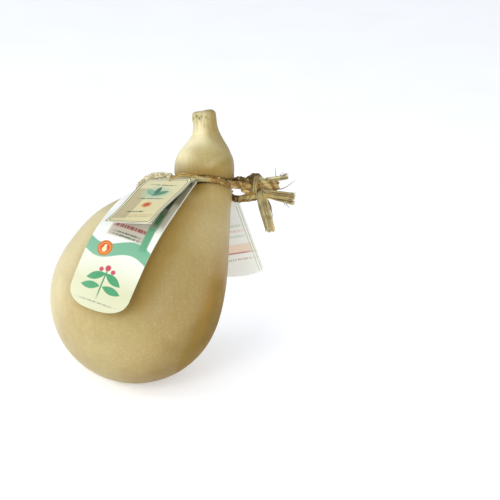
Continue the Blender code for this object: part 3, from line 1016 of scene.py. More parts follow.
    @staticmethod
    def over_ring(place: Vector) -> float:
        """Height over the rope ring's plane, in millimetres."""
        right, up = place.x - RING_CENTRE[0], place.y - RING_CENTRE[1]
        return right * math.sin(RING_LEAN) + up * math.cos(RING_LEAN)

    def lip_droop(self, place: Vector) -> float:
        """How far the head's lower edge sags, less how far the shoulder rises, in millimetres.

        Args:
            place: the leaning place, in millimetres.

        Returns:
            The way down.
        """
        aside = place.x - RING_CENTRE[0]
        from_axis = math.hypot(aside, place.z)
        height = self.over_ring(place)
        droop = (1.3 + 2.2 * ramp(-aside, -8.0, 18.0)) * ramp(from_axis, 18.5, 22.0)
        rise = 3.2 * ramp(aside, -12.0, 10.0) * ramp(from_axis, 17.0, 21.0)
        return (droop * plateau(height, 2.6, 4.2, 5.5, 13.0)
                - rise * plateau(-height, 2.0, 4.5, 6.0, 18.0))

    def relief(self, place: Vector) -> float:
        """Height of the skin over the smooth body, in millimetres.

        Args:
            place: the leaning place, in millimetres.

        Returns:
            The height, below 0 in pits and creases.
        """
        right, up, front = place
        angle = math.atan2(front, right - self.stem_axis)
        height = self.over_ring(place)
        deep, off = self.from_crease(place)
        waves = 0.22 * ridged(right / 24, up / 30, front / 24)
        waves += 0.06 * ridged(right / 5, up / 7, front / 5)
        pleats = falloff(height, 0.0, 12.0) * (
            0.16 * math.sin(31 * angle + 2.5 * ridged(angle * 2, up / 8, 1.0))
            + 0.14 * ridged(angle * 9, up / 14, 3.0))
        lines = ramp(up, 124.0, 142.0) * sum(
            strength * ridged(math.cos(angle) * fine, up / tall, math.sin(angle) * fine)
            for strength, fine, tall in ((0.20, 6.5, 22.0), (0.12, 14.0, 12.0)))
        corner = 0.7 * falloff(height, 6.0, 3.0) * ramp(right - RING_CENTRE[0], 6.0, 22.0)
        crease = 0.28 * falloff(off, 0.0, 1.4) * deep
        lip = 0.55 * plateau(up, 156.5, 158.5, 161.0, 163.5) * ramp(-right, -63, -55)
        holes = 0.0
        if front > 0:
            holes = sum(depth * spot(place, *middle, radius, radius / 0.75)
                        for *middle, radius, depth in self.pits)
        return waves + pleats + lines + corner - crease + lip - holes


# ---------------------------------------------------------------- rope

@dataclass(frozen=True)
class Fuzz:
    """Loose fibres that stand off a rope, in millimetres."""

    half: float  # the rope's half width
    count: int
    reach: tuple[float, float]  # shortest and longest fibre
    tints: tuple[float, float]
    lift: float  # how steeply they leave the rope, 0 to 1
    thick: float = 0.16  # half width of a fibre


class RushWorker:
    """Makes strands, blades and loose fibres of rush inside one bmesh."""

    batch = 1500  # vertices after which a part of the piece is set aside
    dark_blades = 0.22  # share of the blades in a fan that are dark

    def __init__(self, seed: int) -> None:
        """Start an empty piece with its own repeatable chance.

        Args:
            seed: start of its random draws.
        """
        self.mesh_data = bmesh.new()
        self.parts: list[bpy.types.Mesh] = []
        self.chance = random.Random(seed)

    def set_aside(self) -> None:
        """Put the geometry away once its vertices fill a batch, to work faster."""
        if len(self.mesh_data.verts) > self.batch:
            part = bpy.data.meshes.new("part")
            self.mesh_data.to_mesh(part)
            self.mesh_data.clear()
            self.parts.append(part)

    def gather(self) -> bmesh.types.BMesh:
        """All geometry in one bmesh, with its faces outward.

        Returns:
            The bmesh.
        """
        bmesh.ops.recalc_face_normals(self.mesh_data, faces=self.mesh_data.faces)
        for part in self.parts:
            piece = bmesh.new()
            piece.from_mesh(part)
            bmesh.ops.recalc_face_normals(piece, faces=piece.faces)
            piece.to_mesh(part)
            piece.free()
            self.mesh_data.from_mesh(part)
            bpy.data.meshes.remove(part)
        return self.mesh_data

    def strand(self, path: Sequence[Vector], half: Callable[[float], float], tint: float,
               sides: int, ragged: float, step: float = 0.8, flat: float = 1.0,
               facing: Vector | None = None) -> None:
        """One bundle of fibres.

        Args:
            path: world points of its centreline.
            half: half width in millimetres at a share of the length.
            tint: shade, from 0 brown to 1 pale.
            sides: corners round it.
            ragged: depth of the grooves between its fibres.
            step: distance between rings in millimetres.
            flat: thickness as a share of the width.
            facing: direction of its flat side.
        """
        seed = self.chance.uniform(0.0, 50.0)
        track = Track(path, facing)
        length = track.length / MM

        def outline(share: float, angle: float) -> tuple[float, float]:
            """Offset of the skin at a place, grooved along the fibres.

            Args:
                share: place along the strand, 0 to 1.
                angle: place round it.

            Returns:
                The offsets across and out, in millimetres.
            """
            # Grooves last 9 mm and lumps 5 mm, and each end rounds off over 0.5 mm.
            around, out = math.cos(angle), math.sin(angle)
            grooves = ridged(around * 3.6 + seed, out * 3.6, share * length / 9.0)
            lumps = ridged(around * 0.9, out * 0.9 + seed, share * length / 5.0)
            closing = min(1.0, 0.35 + 1.25 * min(share, 1 - share) * length)
            reach = half(share) * (1 + ragged * (1.6 * grooves + 0.6 * lumps)) * closing
            return reach * around, reach * out * flat

        self.set_aside()
        roll_tube(self.mesh_data, track, step, sides, outline, tint)

    def twist(self, path: Sequence[Vector], half: Callable[[float], float], lay: float,
              count: int, tints: Sequence[float], fullness: float, sides: int,
              ragged: float = 0.12, yarn_lay: float = 0.0, phase: float = 0.0) -> None:
        """Strands laid round each other along a path.

        Args:
            path: world points of the rope's centreline.
            half: the rope's half width in millimetres at a share of its length.
            lay: length of one full turn in millimetres.
            count: number of strands.
            tints: shade of each strand.
            fullness: a strand's radius as a share of the rope's.
            sides: corners round each strand.
            ragged: depth of the grooves between its fibres.
            yarn_lay: one turn of the two yarns inside each strand, or 0 for solid strands.
            phase: turn of the first strand at the start, in degrees.
        """
        track = Track(path)
        length = track.length / MM
        steps = max(4, round(length / 0.9))
        for strand in range(count):
            centre = []
            for index in range(steps + 1):
                share = index / steps
                place, normal, binormal, _ = track.at(share)
                laid = strand / count + share * length / lay
                turn = math.radians(phase) + 2 * math.pi * laid
                offset = half(share) * (1.0 - fullness)
                centre.append(place + (binormal * math.cos(turn) + normal * math.sin(turn))
                              * (offset * MM))
            tint = tints[strand % len(tints)]
            if yarn_lay:
                self.twist(centre, lambda share: half(share) * fullness, yarn_lay, 2,
                           (tint, tint + 0.12), phase=70.0 * strand, fullness=0.6,
                           sides=sides, ragged=ragged)
            else:
                self.strand(centre, lambda share: half(share) * fullness, tint,
                            sides=sides, ragged=ragged)

    def hairs(self, path: Sequence[Vector], fuzz: Fuzz) -> None:
        """Loose fibres that stand off a rope.

        Args:
            path: world points of the rope's centreline.
            fuzz: their number, sizes, shades and lift.
        """
        track = Track(path)
        for _ in range(fuzz.count):
            share = self.chance.uniform(0.02, 0.98)
            place, normal, binormal, tangent = track.at(share)
            turn = self.chance.uniform(0, 2 * math.pi)
            out = binormal * math.cos(turn) + normal * math.sin(turn)
            side = tangent.cross(out)
            along = tangent * self.chance.choice((-1, 1))
            length = self.chance.uniform(*fuzz.reach)
            steep = fuzz.lift * self.chance.uniform(0.4, 1.3)
            curl = self.chance.uniform(-0.5, 0.5)
            points = []
            for gone in (0.0, 1 / 3, 2 / 3, 1.0):
                # It bends over as it rises, and curls to one side.
                rise = steep * gone * (1.2 - 0.5 * gone)
                points.append(place + (out * (fuzz.half * 0.8 + length * rise)
                                       + along * (length * gone * 0.8)
                                       + side * (length * curl * gone**2)) * MM)
            self.fibre(points, fuzz.thick, self.chance.uniform(*fuzz.tints))

    def fibre(self, points: Sequence[Vector], thick: float, tint: float) -> None:
        """One thin tapered fibre through a few world points.

        Args:
            points: where it passes, in metres.
            thick: half width at its root.
            tint: its shade.
        """

        def outline(share: float, angle: float) -> tuple[float, float]:
            """Offset of the skin at a place, thinner towards the tip.

            Args:
                share: place along the fibre, 0 to 1.
                angle: place round it.

            Returns:
                The offsets across and out, in millimetres.
            """
            reach = thick * (1 - 0.7 * share)
            return reach * math.cos(angle), reach * math.sin(angle)

        self.set_aside()
        roll_tube(self.mesh_data, Track(smooth_curve(points, 1.0 * MM)), 1.2, 5, outline,
                  tint)

    def fan(self, path: Sequence[Vector], half_width: Callable[[float], float],
            half_thick: float, count: int, tints: tuple[float, float], blade: float,
            fray: float) -> None:
        """Rush blades side by side along a path, flat to the front, with uneven ends.

        Args:
            path: world points of the bundle's centreline.
            half_width: the bundle's half width in millimetres at a share of its length.
            half_thick: its half thickness in millimetres.
            count: number of blades.
            tints: range of the blades' shade.
            blade: half width of one blade in millimetres.
            fray: how much the blades' ends differ, as a share of the length.
        """
        track = Track(path, FRONT)
        for index in range(count):
            across = -1 + 2 * (index + 0.5) / count
            across += self.chance.uniform(-0.6, 0.6) / count
            out = self.chance.uniform(-1.0, 1.0) * math.sqrt(max(0.0, 1 - across**2))
            # It sways from side to side a little and stops short of the bundle's end.
            phase = self.chance.uniform(0, 6.28)
            last = 1.0 - fray * self.chance.random()
            swing = self.chance.uniform(0.0, 0.14)
            points = []
            steps = max(4, round(track.length / MM / 3.0))
            for knot in range(steps + 1):
                share = last * knot / steps
                place, normal, binormal, _ = track.at(share)
                sway = across + swing * math.sin(phase + share * 5.0)
                points.append(place + (binormal * (sway * half_width(share))
                                       + normal * (out * half_thick)) * MM)
            dark = self.chance.random() < self.dark_blades
            size = blade * self.chance.uniform(0.7, 1.25) * (0.75 if dark else 1.0)
            shade = self.chance.uniform(-0.3, 0.1) if dark else self.chance.uniform(*tints)
            self.strand(points, lambda share: size * (1 - 0.35 * share), shade, sides=8,
                        step=1.6, flat=0.55, facing=FRONT, ragged=0.1)

    def finish(self, name: str, material: bpy.types.Material, node: str) -> bpy.types.Object:
        """Close the piece, let it ride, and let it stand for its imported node.

        Args:
            name: the piece's name.
            material: its finish.
            node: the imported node.

        Returns:
            The piece.
        """
        made = as_object(name, self.gather(), [material], sharp_angle=70.0)
        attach(made, "root")
        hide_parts(node)
        return made


@dataclass(frozen=True)
class Tail:
    """A loosened end of the rope: a flat bundle of blades with a few long fibres."""

    name: str
    node: str
    seed: int
    route: tuple[Point, ...]
    # half width in millimetres: its constant, its slope and its curve over the length
    widths: tuple[float, float, float]
    half_thick: float
    blades: int
    tints: tuple[float, float]
    blade: float
    fray: float
    fuzz: Fuzz
    fibre_thick: float
    fibre_tint: float
    fibres: tuple[tuple[Point, ...], ...]

    def half_width(self, share: float) -> float:
        """Half width in millimetres at a share of the length."""
        start, slope, curve = self.widths
        return start + slope * share + curve * share**2

    def build(self, rush: bpy.types.Material) -> bpy.types.Object:
        """Make the tail.

        Args:
            rush: its finish.

        Returns:
            The tail's piece.
        """
        path = world_path(self.route, 1.5)
        worker = RushWorker(self.seed)
        worker.fan(path, self.half_width, self.half_thick, self.blades, self.tints,
                   self.blade, self.fray)
        worker.hairs(path, self.fuzz)
        for points in self.fibres:
            worker.fibre([leaning(*point) for point in points], self.fibre_thick,
                         self.fibre_tint)
        return worker.finish(self.name, rush, self.node)


# The thin tail points up and right, the thick one right, and the third hangs from the knot.
TAILS = (
    Tail("rope_thin_tail", "rope_tail_thin", 13,
         ((112.7, 103.1, -0.2), (118.9, 103.9, 0.4), (123.7, 104.2, -0.6),
          (128.6, 105.1, -1.6), (133.8, 106.2, -3.0)),
         (1.3, 1.6, -0.7), 0.8, 26, (0.7, 1.05), 0.38, 0.1,
         Fuzz(1.0, 16, (2.0, 4.0), (0.2, 0.9), 0.5), 0.42, -0.2,
         (((122.4, 104.0, -1.0), (122.2, 108.6, -1.2), (121.6, 114.4, -1.5)),
          ((125.0, 105.4, -1.4), (127.2, 108.4, -1.2), (129.4, 109.6, -1.0)),
          ((127.0, 105.6, -1.4), (129.8, 108.2, -1.2), (132.4, 107.8, -1.0)),
          ((128.0, 106.0, -1.4), (131.6, 109.0, -1.2), (134.2, 107.4, -1.0)),
          ((112.4, 103.4, -0.4), (114.4, 105.2, -0.2), (118.6, 105.4, -0.2)))),
    Tail("rope_thick_tail", "rope_tail_thick", 15,
         ((108.6, 92.8, 5.4), (113.8, 90.5, 7.4), (118.5, 89.7, 7.6), (128.1, 88.1, 6.4),
          (139.9, 86.1, 4.6)),
         (2.9, 2.5, 0.0), 1.7, 66, (0.4, 0.85), 0.42, 0.1,
         Fuzz(2.8, 26, (2.0, 5.0), (0.2, 0.9), 0.4), 0.55, -0.3,
         (((122.0, 94.6, 2.6), (127.0, 94.9, 5.0), (131.6, 96.9, 5.6), (139.2, 102.4, 5.2)),
          ((127.0, 86.4, 6.4), (130.6, 82.6, 6.0), (134.0, 77.8, 5.6)),
          ((126.0, 85.8, 6.4), (129.0, 82.8, 6.0), (130.6, 79.8, 5.6)))),
    Tail("rope_hanging_tail", "rope_tail_down", 17,
         ((110.0, 94.2, 3.0), (110.4, 91.4, 7.2), (110.5, 87.0, 7.6), (110.9, 82.8, 6.2),
          (112.0, 78.2, 4.8), (113.3, 73.4, 3.6), (114.6, 69.5, 2.6), (116.4, 62.5, 0.8),
          (117.4, 56.5, -1.0)),
         (4.9, -1.1, 0.0), 1.4, 78, (0.38, 0.9), 0.4, 0.12,
         Fuzz(3.4, 34, (2.0, 6.0), (0.1, 0.9), 0.3), 0.5, -0.3,
         (((115.0, 85.0, 5.4), (118.0, 78.0, 4.0), (119.8, 69.0, 1.8)),
          ((114.4, 84.0, 5.6), (117.4, 77.6, 4.2), (119.6, 71.6, 2.4)),
          ((114.8, 86.0, 5.0), (117.0, 82.0, 4.2), (119.0, 77.6, 3.0)))))


@dataclass
class HangingLoop:
    """The free loop of rope left of the neck, between two places at the groove."""

    rush: bpy.types.Material
    diameter: float = 7.2
    lay: float = 10.5
    route: tuple[Point, ...] = (
        (31.4, 105.9, 2.6), (26.4, 106.2, 1.2), (20.6, 106.5, -0.8), (14.6, 105.9, -3.0),
        (8.6, 103.5, -4.9), (4.6, 99.9, -8.0), (2.2, 96.6, -12.8), (1.4, 94.2, -18.5),
        (2.6, 92.4, -24.2), (5.9, 91.4, -29.1), (10.8, 91.2, -32.4), (16.5, 91.9, -33.5),
        (22.6, 93.6, -33.0), (28.4, 96.4, -31.0), (33.6, 99.9, -27.4), (38.0, 103.4, -22.8),
        (42.3, 103.9, -17.6))

    def build(self) -> bpy.types.Object:
        """Returns:
            The loop's piece.
        """
        path = world_path(self.route, 1.5)
        half = self.diameter / 2
        worker = RushWorker(11)
        worker.twist(path, lambda share: half * 0.94, -self.lay, 3, (0.85, 1.0, 0.75),
                     fullness=0.53, sides=12, ragged=0.34, yarn_lay=5.5)
        worker.hairs(path, Fuzz(half * 0.95, 420, (1.4, 4.0), (0.1, 1.1), 0.3, 0.2))
        worker.hairs(path, Fuzz(half * 0.95, 360, (1.8, 4.6), (0.1, 1.0), 0.6, 0.17))
        made = worker.finish("rope_loop", self.rush, "hanging_loop")
        return made


# A bundle in the knot: its points, its half width in millimetres and its shade.
Bundle = tuple[tuple[Point, ...], float, float]


@dataclass
class NeckRope:
    """The rope's turn round the neck, its knot and its loosened ends."""

    rush: bpy.types.Material
    lay: float = 10.5
    front_run: tuple[Point, ...] = (
        (78.2, 99.5, 13.4), (85.5, 98.4, 8.8), (92.5, 97.7, 5.2), (97.3, 97.5, 3.2))
    back_run: tuple[Point, ...] = (
        (77.2, 96.0, -23.2), (83.4, 88.8, -22.4), (89.5, 87.0, -17.4), (96.0, 87.2, -11.0),
        (101.6, 87.6, -6.0), (106.4, 89.0, -2.0))
    # angle round the ring, reach and lift of the smooth strand on the turn's left
    smooth_strand: tuple[Point, ...] = (
        (132, 23.0, 0.9), (117, 23.4, 1.0), (106, 23.9, 0.6), (95, 23.9, 0.3),
        (84, 23.4, 0.2), (74, 21.6, 0.2))
    upper_run: tuple[Point, ...] = (
        (78.6, 98.8, -9.0), (84.0, 101.6, -6.4), (89.5, 103.9, -3.0), (93.6, 103.2, -0.6),
        (96.4, 102.0, 1.0), (99.6, 101.0, 1.4))
    knot_axis: tuple[Point, ...] = ((97.6, 97.6, 1.2), (104.4, 97.9, 0.4), (110.4, 98.0, -0.6))
    twisted_end: tuple[Point, ...] = (
        (103.4, 98.3, 2.0), (114.5, 98.0, 1.0), (124.0, 98.0, -0.6))
    band: tuple[Point, ...] = (
        (106.2, 104.6, -4.0), (105.6, 106.2, 1.0), (104.6, 104.4, 6.6), (103.8, 99.6, 9.8),
        (103.2, 94.6, 9.0), (104.2, 91.2, 5.0), (106.0, 90.0, 0.5))
    front_bundles: tuple[Bundle, ...] = (
        # dark strand over the top
        (((97.4, 103.0, -2.4), (100.6, 105.6, -1.6), (105.0, 106.9, -1.4),
          (109.0, 104.6, -2.6), (111.0, 100.0, -4.0)), 2.3, -0.25),
        # shoulder that runs down to the right
        (((103.6, 103.8, 4.8), (108.0, 103.4, 5.6), (112.0, 100.6, 5.4),
          (115.0, 97.0, 3.0)), 2.2, 0.62),
        # main run as it dives under the band
        (((94.8, 99.4, 4.6), (98.0, 97.6, 5.4), (101.2, 94.4, 5.4), (104.6, 92.0, 3.2)),
         2.9, 0.22),
        # second bundle down to the lower run
        (((92.6, 95.4, 3.6), (96.6, 92.8, 3.8), (100.6, 90.4, 3.0), (104.6, 89.4, 1.0)),
         2.5, 0.3),
        # bundle along the bottom, lit
        (((90.0, 87.6, -14.6), (93.6, 88.4, -7.0), (98.0, 88.0, -0.4), (102.8, 88.2, 3.0),
          (107.4, 90.6, 3.0)), 2.2, 0.46))
    back_bundles: tuple[Bundle, ...] = (
        (((109.4, 102.6, -2.0), (107.6, 100.4, -5.6), (104.8, 97.2, -7.2),
          (101.8, 93.6, -6.6), (99.8, 90.6, -3.4)), 2.6, 0.3),
        (((105.2, 105.4, -3.4), (103.4, 102.8, -6.4), (100.8, 99.8, -7.0),
          (98.2, 96.8, -5.6), (96.6, 94.4, -2.0)), 2.4, 0.1),
        (((111.8, 98.6, -2.0), (109.8, 95.8, -5.0), (107.2, 92.8, -5.6),
          (104.6, 90.4, -3.8)), 2.2, 0.42))

    def build(self) -> list[bpy.types.Object]:
        """Make every part of the neck's rope.

        Returns:
            The pieces, in the order in which they are made.
        """
        return [self.turn(), self.upper_strand(), self.knot(), self.end(),
                *(tail.build(self.rush) for tail in TAILS)]

    def turn(self) -> bpy.types.Object:
        """The turn in the groove with both runs out to the knot.

        Returns:
            The piece.
        """
        points = [leaning(*point) for point in reversed(self.front_run)]
        points += [leaning(*ring_point(angle, 21.2, 0.9 * falloff(angle, 72.0, 30.0)))
                   for angle in range(62, 283, 22)]
        points += [leaning(*point) for point in self.back_run]
        path = smooth_curve(points, 1.3 * MM)
        worker = RushWorker(3)
        worker.twist(path, self.thickness, -self.lay, 3, (0.05, 0.17, 0.26), fullness=0.53,
                     sides=12, ragged=0.36, yarn_lay=4.8)
        worker.hairs(path, Fuzz(3.0, 330, (1.5, 4.0), (-0.3, 0.8), 0.12, 0.17))
        worker.hairs(path, Fuzz(3.0, 150, (1.5, 4.0), (0.1, 0.9), 0.4, 0.14))
        smooth = [leaning(32.4, 103.8, 7.0), leaning(37.4, 104.2, 13.0)]
        smooth += [leaning(*ring_point(*place)) for place in self.smooth_strand]
        worker.strand(smooth_curve(smooth, 1.0 * MM), lambda share: 2.5 - 0.7 * share, 0.66,
                      sides=18, flat=0.7, facing=FRONT, ragged=0.2)
        return worker.finish("rope_turn", self.rush, "neck_rope")

    @staticmethod
    def thickness(share: float) -> float:
        """Half width of the neck's rope: thin on the neck, full at both ends."""
        return 3.4 + 0.4 * (1 - ramp(share, 0.06, 0.2)) + 0.1 * ramp(share, 0.8, 0.95)

    def upper_strand(self) -> bpy.types.Object:
        """The thinner strand over the front run, right of the neck.

        Returns:
            The piece.
        """
        path = world_path(self.upper_run, 1.2)
        worker = RushWorker(5)
        # Its strands are dark brown: painted shade, as it lies in the main rope's shadow.
        worker.twist(path, lambda share: 2.8, -9.0, 3, (-0.1, 0.0, 0.15), fullness=0.53,
                     sides=10, ragged=0.3, yarn_lay=4.5)
        worker.hairs(path, Fuzz(2.5, 90, (1.5, 3.5), (-0.4, 0.4), 0.3))
        return worker.finish("rope_upper_strand", self.rush, "upper_strand")

    def knot(self) -> bpy.types.Object:
        """The knot: bundles that cross in it, with a flat band over its front.

        Returns:
            The piece.
        """
        path = world_path(self.knot_axis, 0.8)
        worker = RushWorker(7)
        worker.strand(path, lambda share: 3.6 + 2.0 * math.sin(math.pi * share), -0.3, sides=20,
                      ragged=0.2)
        self.cross(worker, self.front_bundles)
        worker.fan(world_path(self.band, 1.0), lambda share: 3.9 - 1.6 * share, 0.9, 36,
                   (0.0, 0.85), blade=0.42, fray=0.02)
        worker.hairs(path, Fuzz(6.4, 90, (2.0, 4.5), (-0.2, 0.9), 0.15))
        self.cross(worker, self.back_bundles)
        return worker.finish("rope_knot_wraps", self.rush, "rope_knot")

    @staticmethod
    def cross(worker: RushWorker, bundles: Sequence[Bundle]) -> None:
        """Lay short two-strand bundles over each other.

        Args:
            worker: maker of the knot.
            bundles: what it lays, in order.
        """
        for points, half, tint in bundles:
            worker.twist(world_path(points, 0.8), lambda share: half, 9.0, 2,
                         (tint, tint + 0.1), fullness=0.62, sides=14, ragged=0.3)

    def end(self) -> bpy.types.Object:
        """The short twisted end beyond the knot.

        Returns:
            The piece.
        """
        path = world_path(self.twisted_end, 1.0)
        worker = RushWorker(9)
        worker.twist(path, lambda share: 5.3 - 0.3 * share, -13.0, 4, (0.15, 0.36, 0.22, 0.42),
                     fullness=0.45, phase=40.0, sides=12, ragged=0.3, yarn_lay=6.0)
        worker.hairs(path, Fuzz(4.6, 60, (1.5, 3.5), (-0.2, 0.8), 0.2))
        return worker.finish("rope_twisted_end", self.rush, "rope_end")


# ---------------------------------------------------------------- cards

@dataclass
class PaperCard:
    """A stiff paper card that starts flat at its top edge and bends as it goes down."""

    name: str
    node: str
    top: Point
    across: Point
    down: Point
    width: float
    length: float
    print_finish: PrintedCard
    # degrees per 100 mm at even shares of the length; bends turn about the width's own
    # direction, and twists about the length's
    bends: tuple[float, ...] = (0.0, 0.0)
    twists: tuple[float, ...] = (0.0, 0.0)
    bow: float = 0.0
    top_radius: float = 4.0
    end_height: float = 2.0
    end_power: float = 2.0
    # how far a side is cut back at the top, and how far down that reaches
    left_cut: tuple[float, float] = (0.0, 0.0)
    right_cut: tuple[float, float] = (0.0, 0.0)
    hole: tuple[float, float] = (0.0, 4.5)
    hole_radius: float = 1.6
    thickness: float = 0.6
    trim: float = 0.0
    stride: float = 2.0

    @staticmethod
    def at_share(values: Sequence[float], share: float) -> float:
        """The value at a share of the length, read between the given ones.

        Args:
            values: at even shares of the length.
            share: 0 to 1.

        Returns:
            The value.
        """
        place = share * (len(values) - 1)
        index = min(int(place), len(values) - 2)
        return values[index] + (values[index + 1] - values[index]) * (place - index)

    def half_widths(self, fallen: float) -> tuple[float, float]:
        """Reach of the card to its left and right at a distance from the top edge.

        Args:
            fallen: the distance, in millimetres.

        Returns:
            Both reaches, in millimetres.
        """
        half = self.width / 2
        if fallen < self.top_radius + self.trim:
            rest = self.top_radius + self.trim - fallen
            half -= self.top_radius - math.sqrt(max(0.0, self.top_radius**2 - rest**2))
        left_over = self.length - fallen
        if left_over < self.end_height:
            share = 1 - left_over / self.end_height
            half *= max(0.0, 1 - share**self.end_power) ** (1 / self.end_power)
        narrowed = [cut * max(0.0, 1 - fallen / reach) if reach else 0.0
                    for cut, reach in (self.left_cut, self.right_cut)]
        return half - narrowed[0], half - narrowed[1]

    def frame_at(self, distance: float) -> tuple[Vector, Vector, Vector, Vector]:
        """Centre, across, down and outward vectors at a distance from the top edge.

        Args:
            distance: in millimetres.

        Returns:
            The four vectors, the centre in metres.
        """
        place = leaning(*self.top)
        across = direction(*self.across)
        fall = direction(*self.down)
        down = (fall - across * fall.dot(across)).normalized()
        steps = max(1, math.ceil(distance / self.stride))
        stride = distance / steps
        for index in range(steps):
            share = (index + 0.5) * stride / self.length
            bend = math.radians(self.at_share(self.bends, share)) * stride / 100.0
            twist = math.radians(self.at_share(self.twists, share)) * stride / 100.0
            turn = Matrix.Rotation(bend, 3, across) @ Matrix.Rotation(twist, 3, down)
            across, down = (turn @ across).normalized(), (turn @ down).normalized()
            place = place + down * (stride * MM)
        return place, across, down, down.cross(across)

    def sag(self, sideways: float) -> float:
        """How far the card bows back at a place across it, in millimetres."""
        return self.bow * (2 * sideways / self.width) ** 2

    def hole_frame(self) -> tuple[Vector, Vector]:
        """Centre of the punched hole and the card's outward direction there.

        Returns:
            Both vectors, the centre in metres.
        """
        sideways, distance = self.hole
        place, across, _, outward = self.frame_at(distance)
        return place + (across * sideways - outward * self.sag(sideways)) * MM, outward

    def rows(self) -> list[float]:
        """Distances from the top edge, closer together where the outline turns.

        Returns:
            The distances in millimetres, from the top down.
        """
        marks = [self.trim + self.top_radius * share
                 for share in (0.01, 0.06, 0.16, 0.32, 0.52, 0.76, 1.0)]
        body = self.length - self.end_height
        top = marks[-1]
        count = max(2, round(body - top))
        marks += [top + (body - top) * index / count for index in range(1, count + 1)]
        ends = max(6, round(self.end_height / 1.4))
        marks += [body + self.end_height * math.sin(math.pi / 2 * index / ends)
                  for index in range(1, ends)]
        marks.append(self.length - 0.004 * self.end_height)
        return marks

    def build(self, board: bpy.types.Material) -> bpy.types.Object:
        """Cut the card from a flat grid, punch it, thicken it and bend it.

        Args:
            board: the finish of its back and cut edges.

        Returns:
            The card's piece.
        """
        marks = self.rows()
        sheet = bmesh.new()
        bmesh.ops.create_grid(sheet, x_segments=round(self.width), y_segments=len(marks) - 1,
                              size=1.0)
        flat = sheet.verts.layers.float_vector.new("sheet")
        for vert in sheet.verts:
            share = (vert.co.x + 1) / 2
            distance = marks[round((vert.co.y + 1) / 2 * (len(marks) - 1))]
            left, right = self.half_widths(distance)
            vert.co = (-left + (left + right) * share, distance, 0.0)
        self.punch(sheet)
        for vert in sheet.verts:
            vert[flat] = vert.co
            vert.co.z = -self.thickness / 2
        for face in sheet.faces:
            face.material_index = 1
        raised = bmesh.ops.extrude_face_region(sheet, geom=list(sheet.faces))["geom"]
        for item in raised:
            if isinstance(item, bmesh.types.BMVert):
                item.co.z = self.thickness / 2
            elif isinstance(item, bmesh.types.BMFace):
                item.material_index = 0
        frames: dict[float, tuple[Vector, Vector, Vector, Vector]] = {}
        for vert in sheet.verts:
            sideways, distance, lift = vert.co
            key = round(distance, 4)
            if key not in frames:
                frames[key] = self.frame_at(key)
            place, across, _, outward = frames[key]
            # Paper never lies quite flat: waves of 0.1 mm, about 20 mm long.
            wave = 0.10 * ridged(sideways / 17, distance / 23, self.width)
            lift += wave - self.sag(sideways)
            vert.co = place + (across * sideways + outward * lift) * MM
        bmesh.ops.recalc_face_normals(sheet, faces=sheet.faces)
        made = as_object(self.name, sheet, [self.print_finish.build(), board])
        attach(made, "root")
        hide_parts(self.node)
        return made

    def punch(self, sheet: bmesh.types.BMesh) -> None:
        """Open the round hole in the flat sheet.

        Args:
            sheet: the flat card.
        """
        centre = Vector((*self.hole, 0.0))
        inside = [face for face in sheet.faces
                  if (face.calc_center_median() - centre).length < self.hole_radius]
        bmesh.ops.delete(sheet, geom=inside, context="FACES")
        for vert in sheet.verts:
            away = vert.co - centre
            # The grid is 1 mm wide, so the hole's ragged rim lies within 1.4 mm of it.
            if vert.is_boundary and away.length < self.hole_radius + 1.4:
                vert.co = centre + away.normalized() * self.hole_radius


BOX, DISC, RING, LEAF = PatchShape.BOX, PatchShape.DISC, PatchShape.RING, PatchShape.LEAF
WAVE, DASHES, FRAME = PatchShape.WAVE, PatchShape.DASHES, PatchShape.FRAME

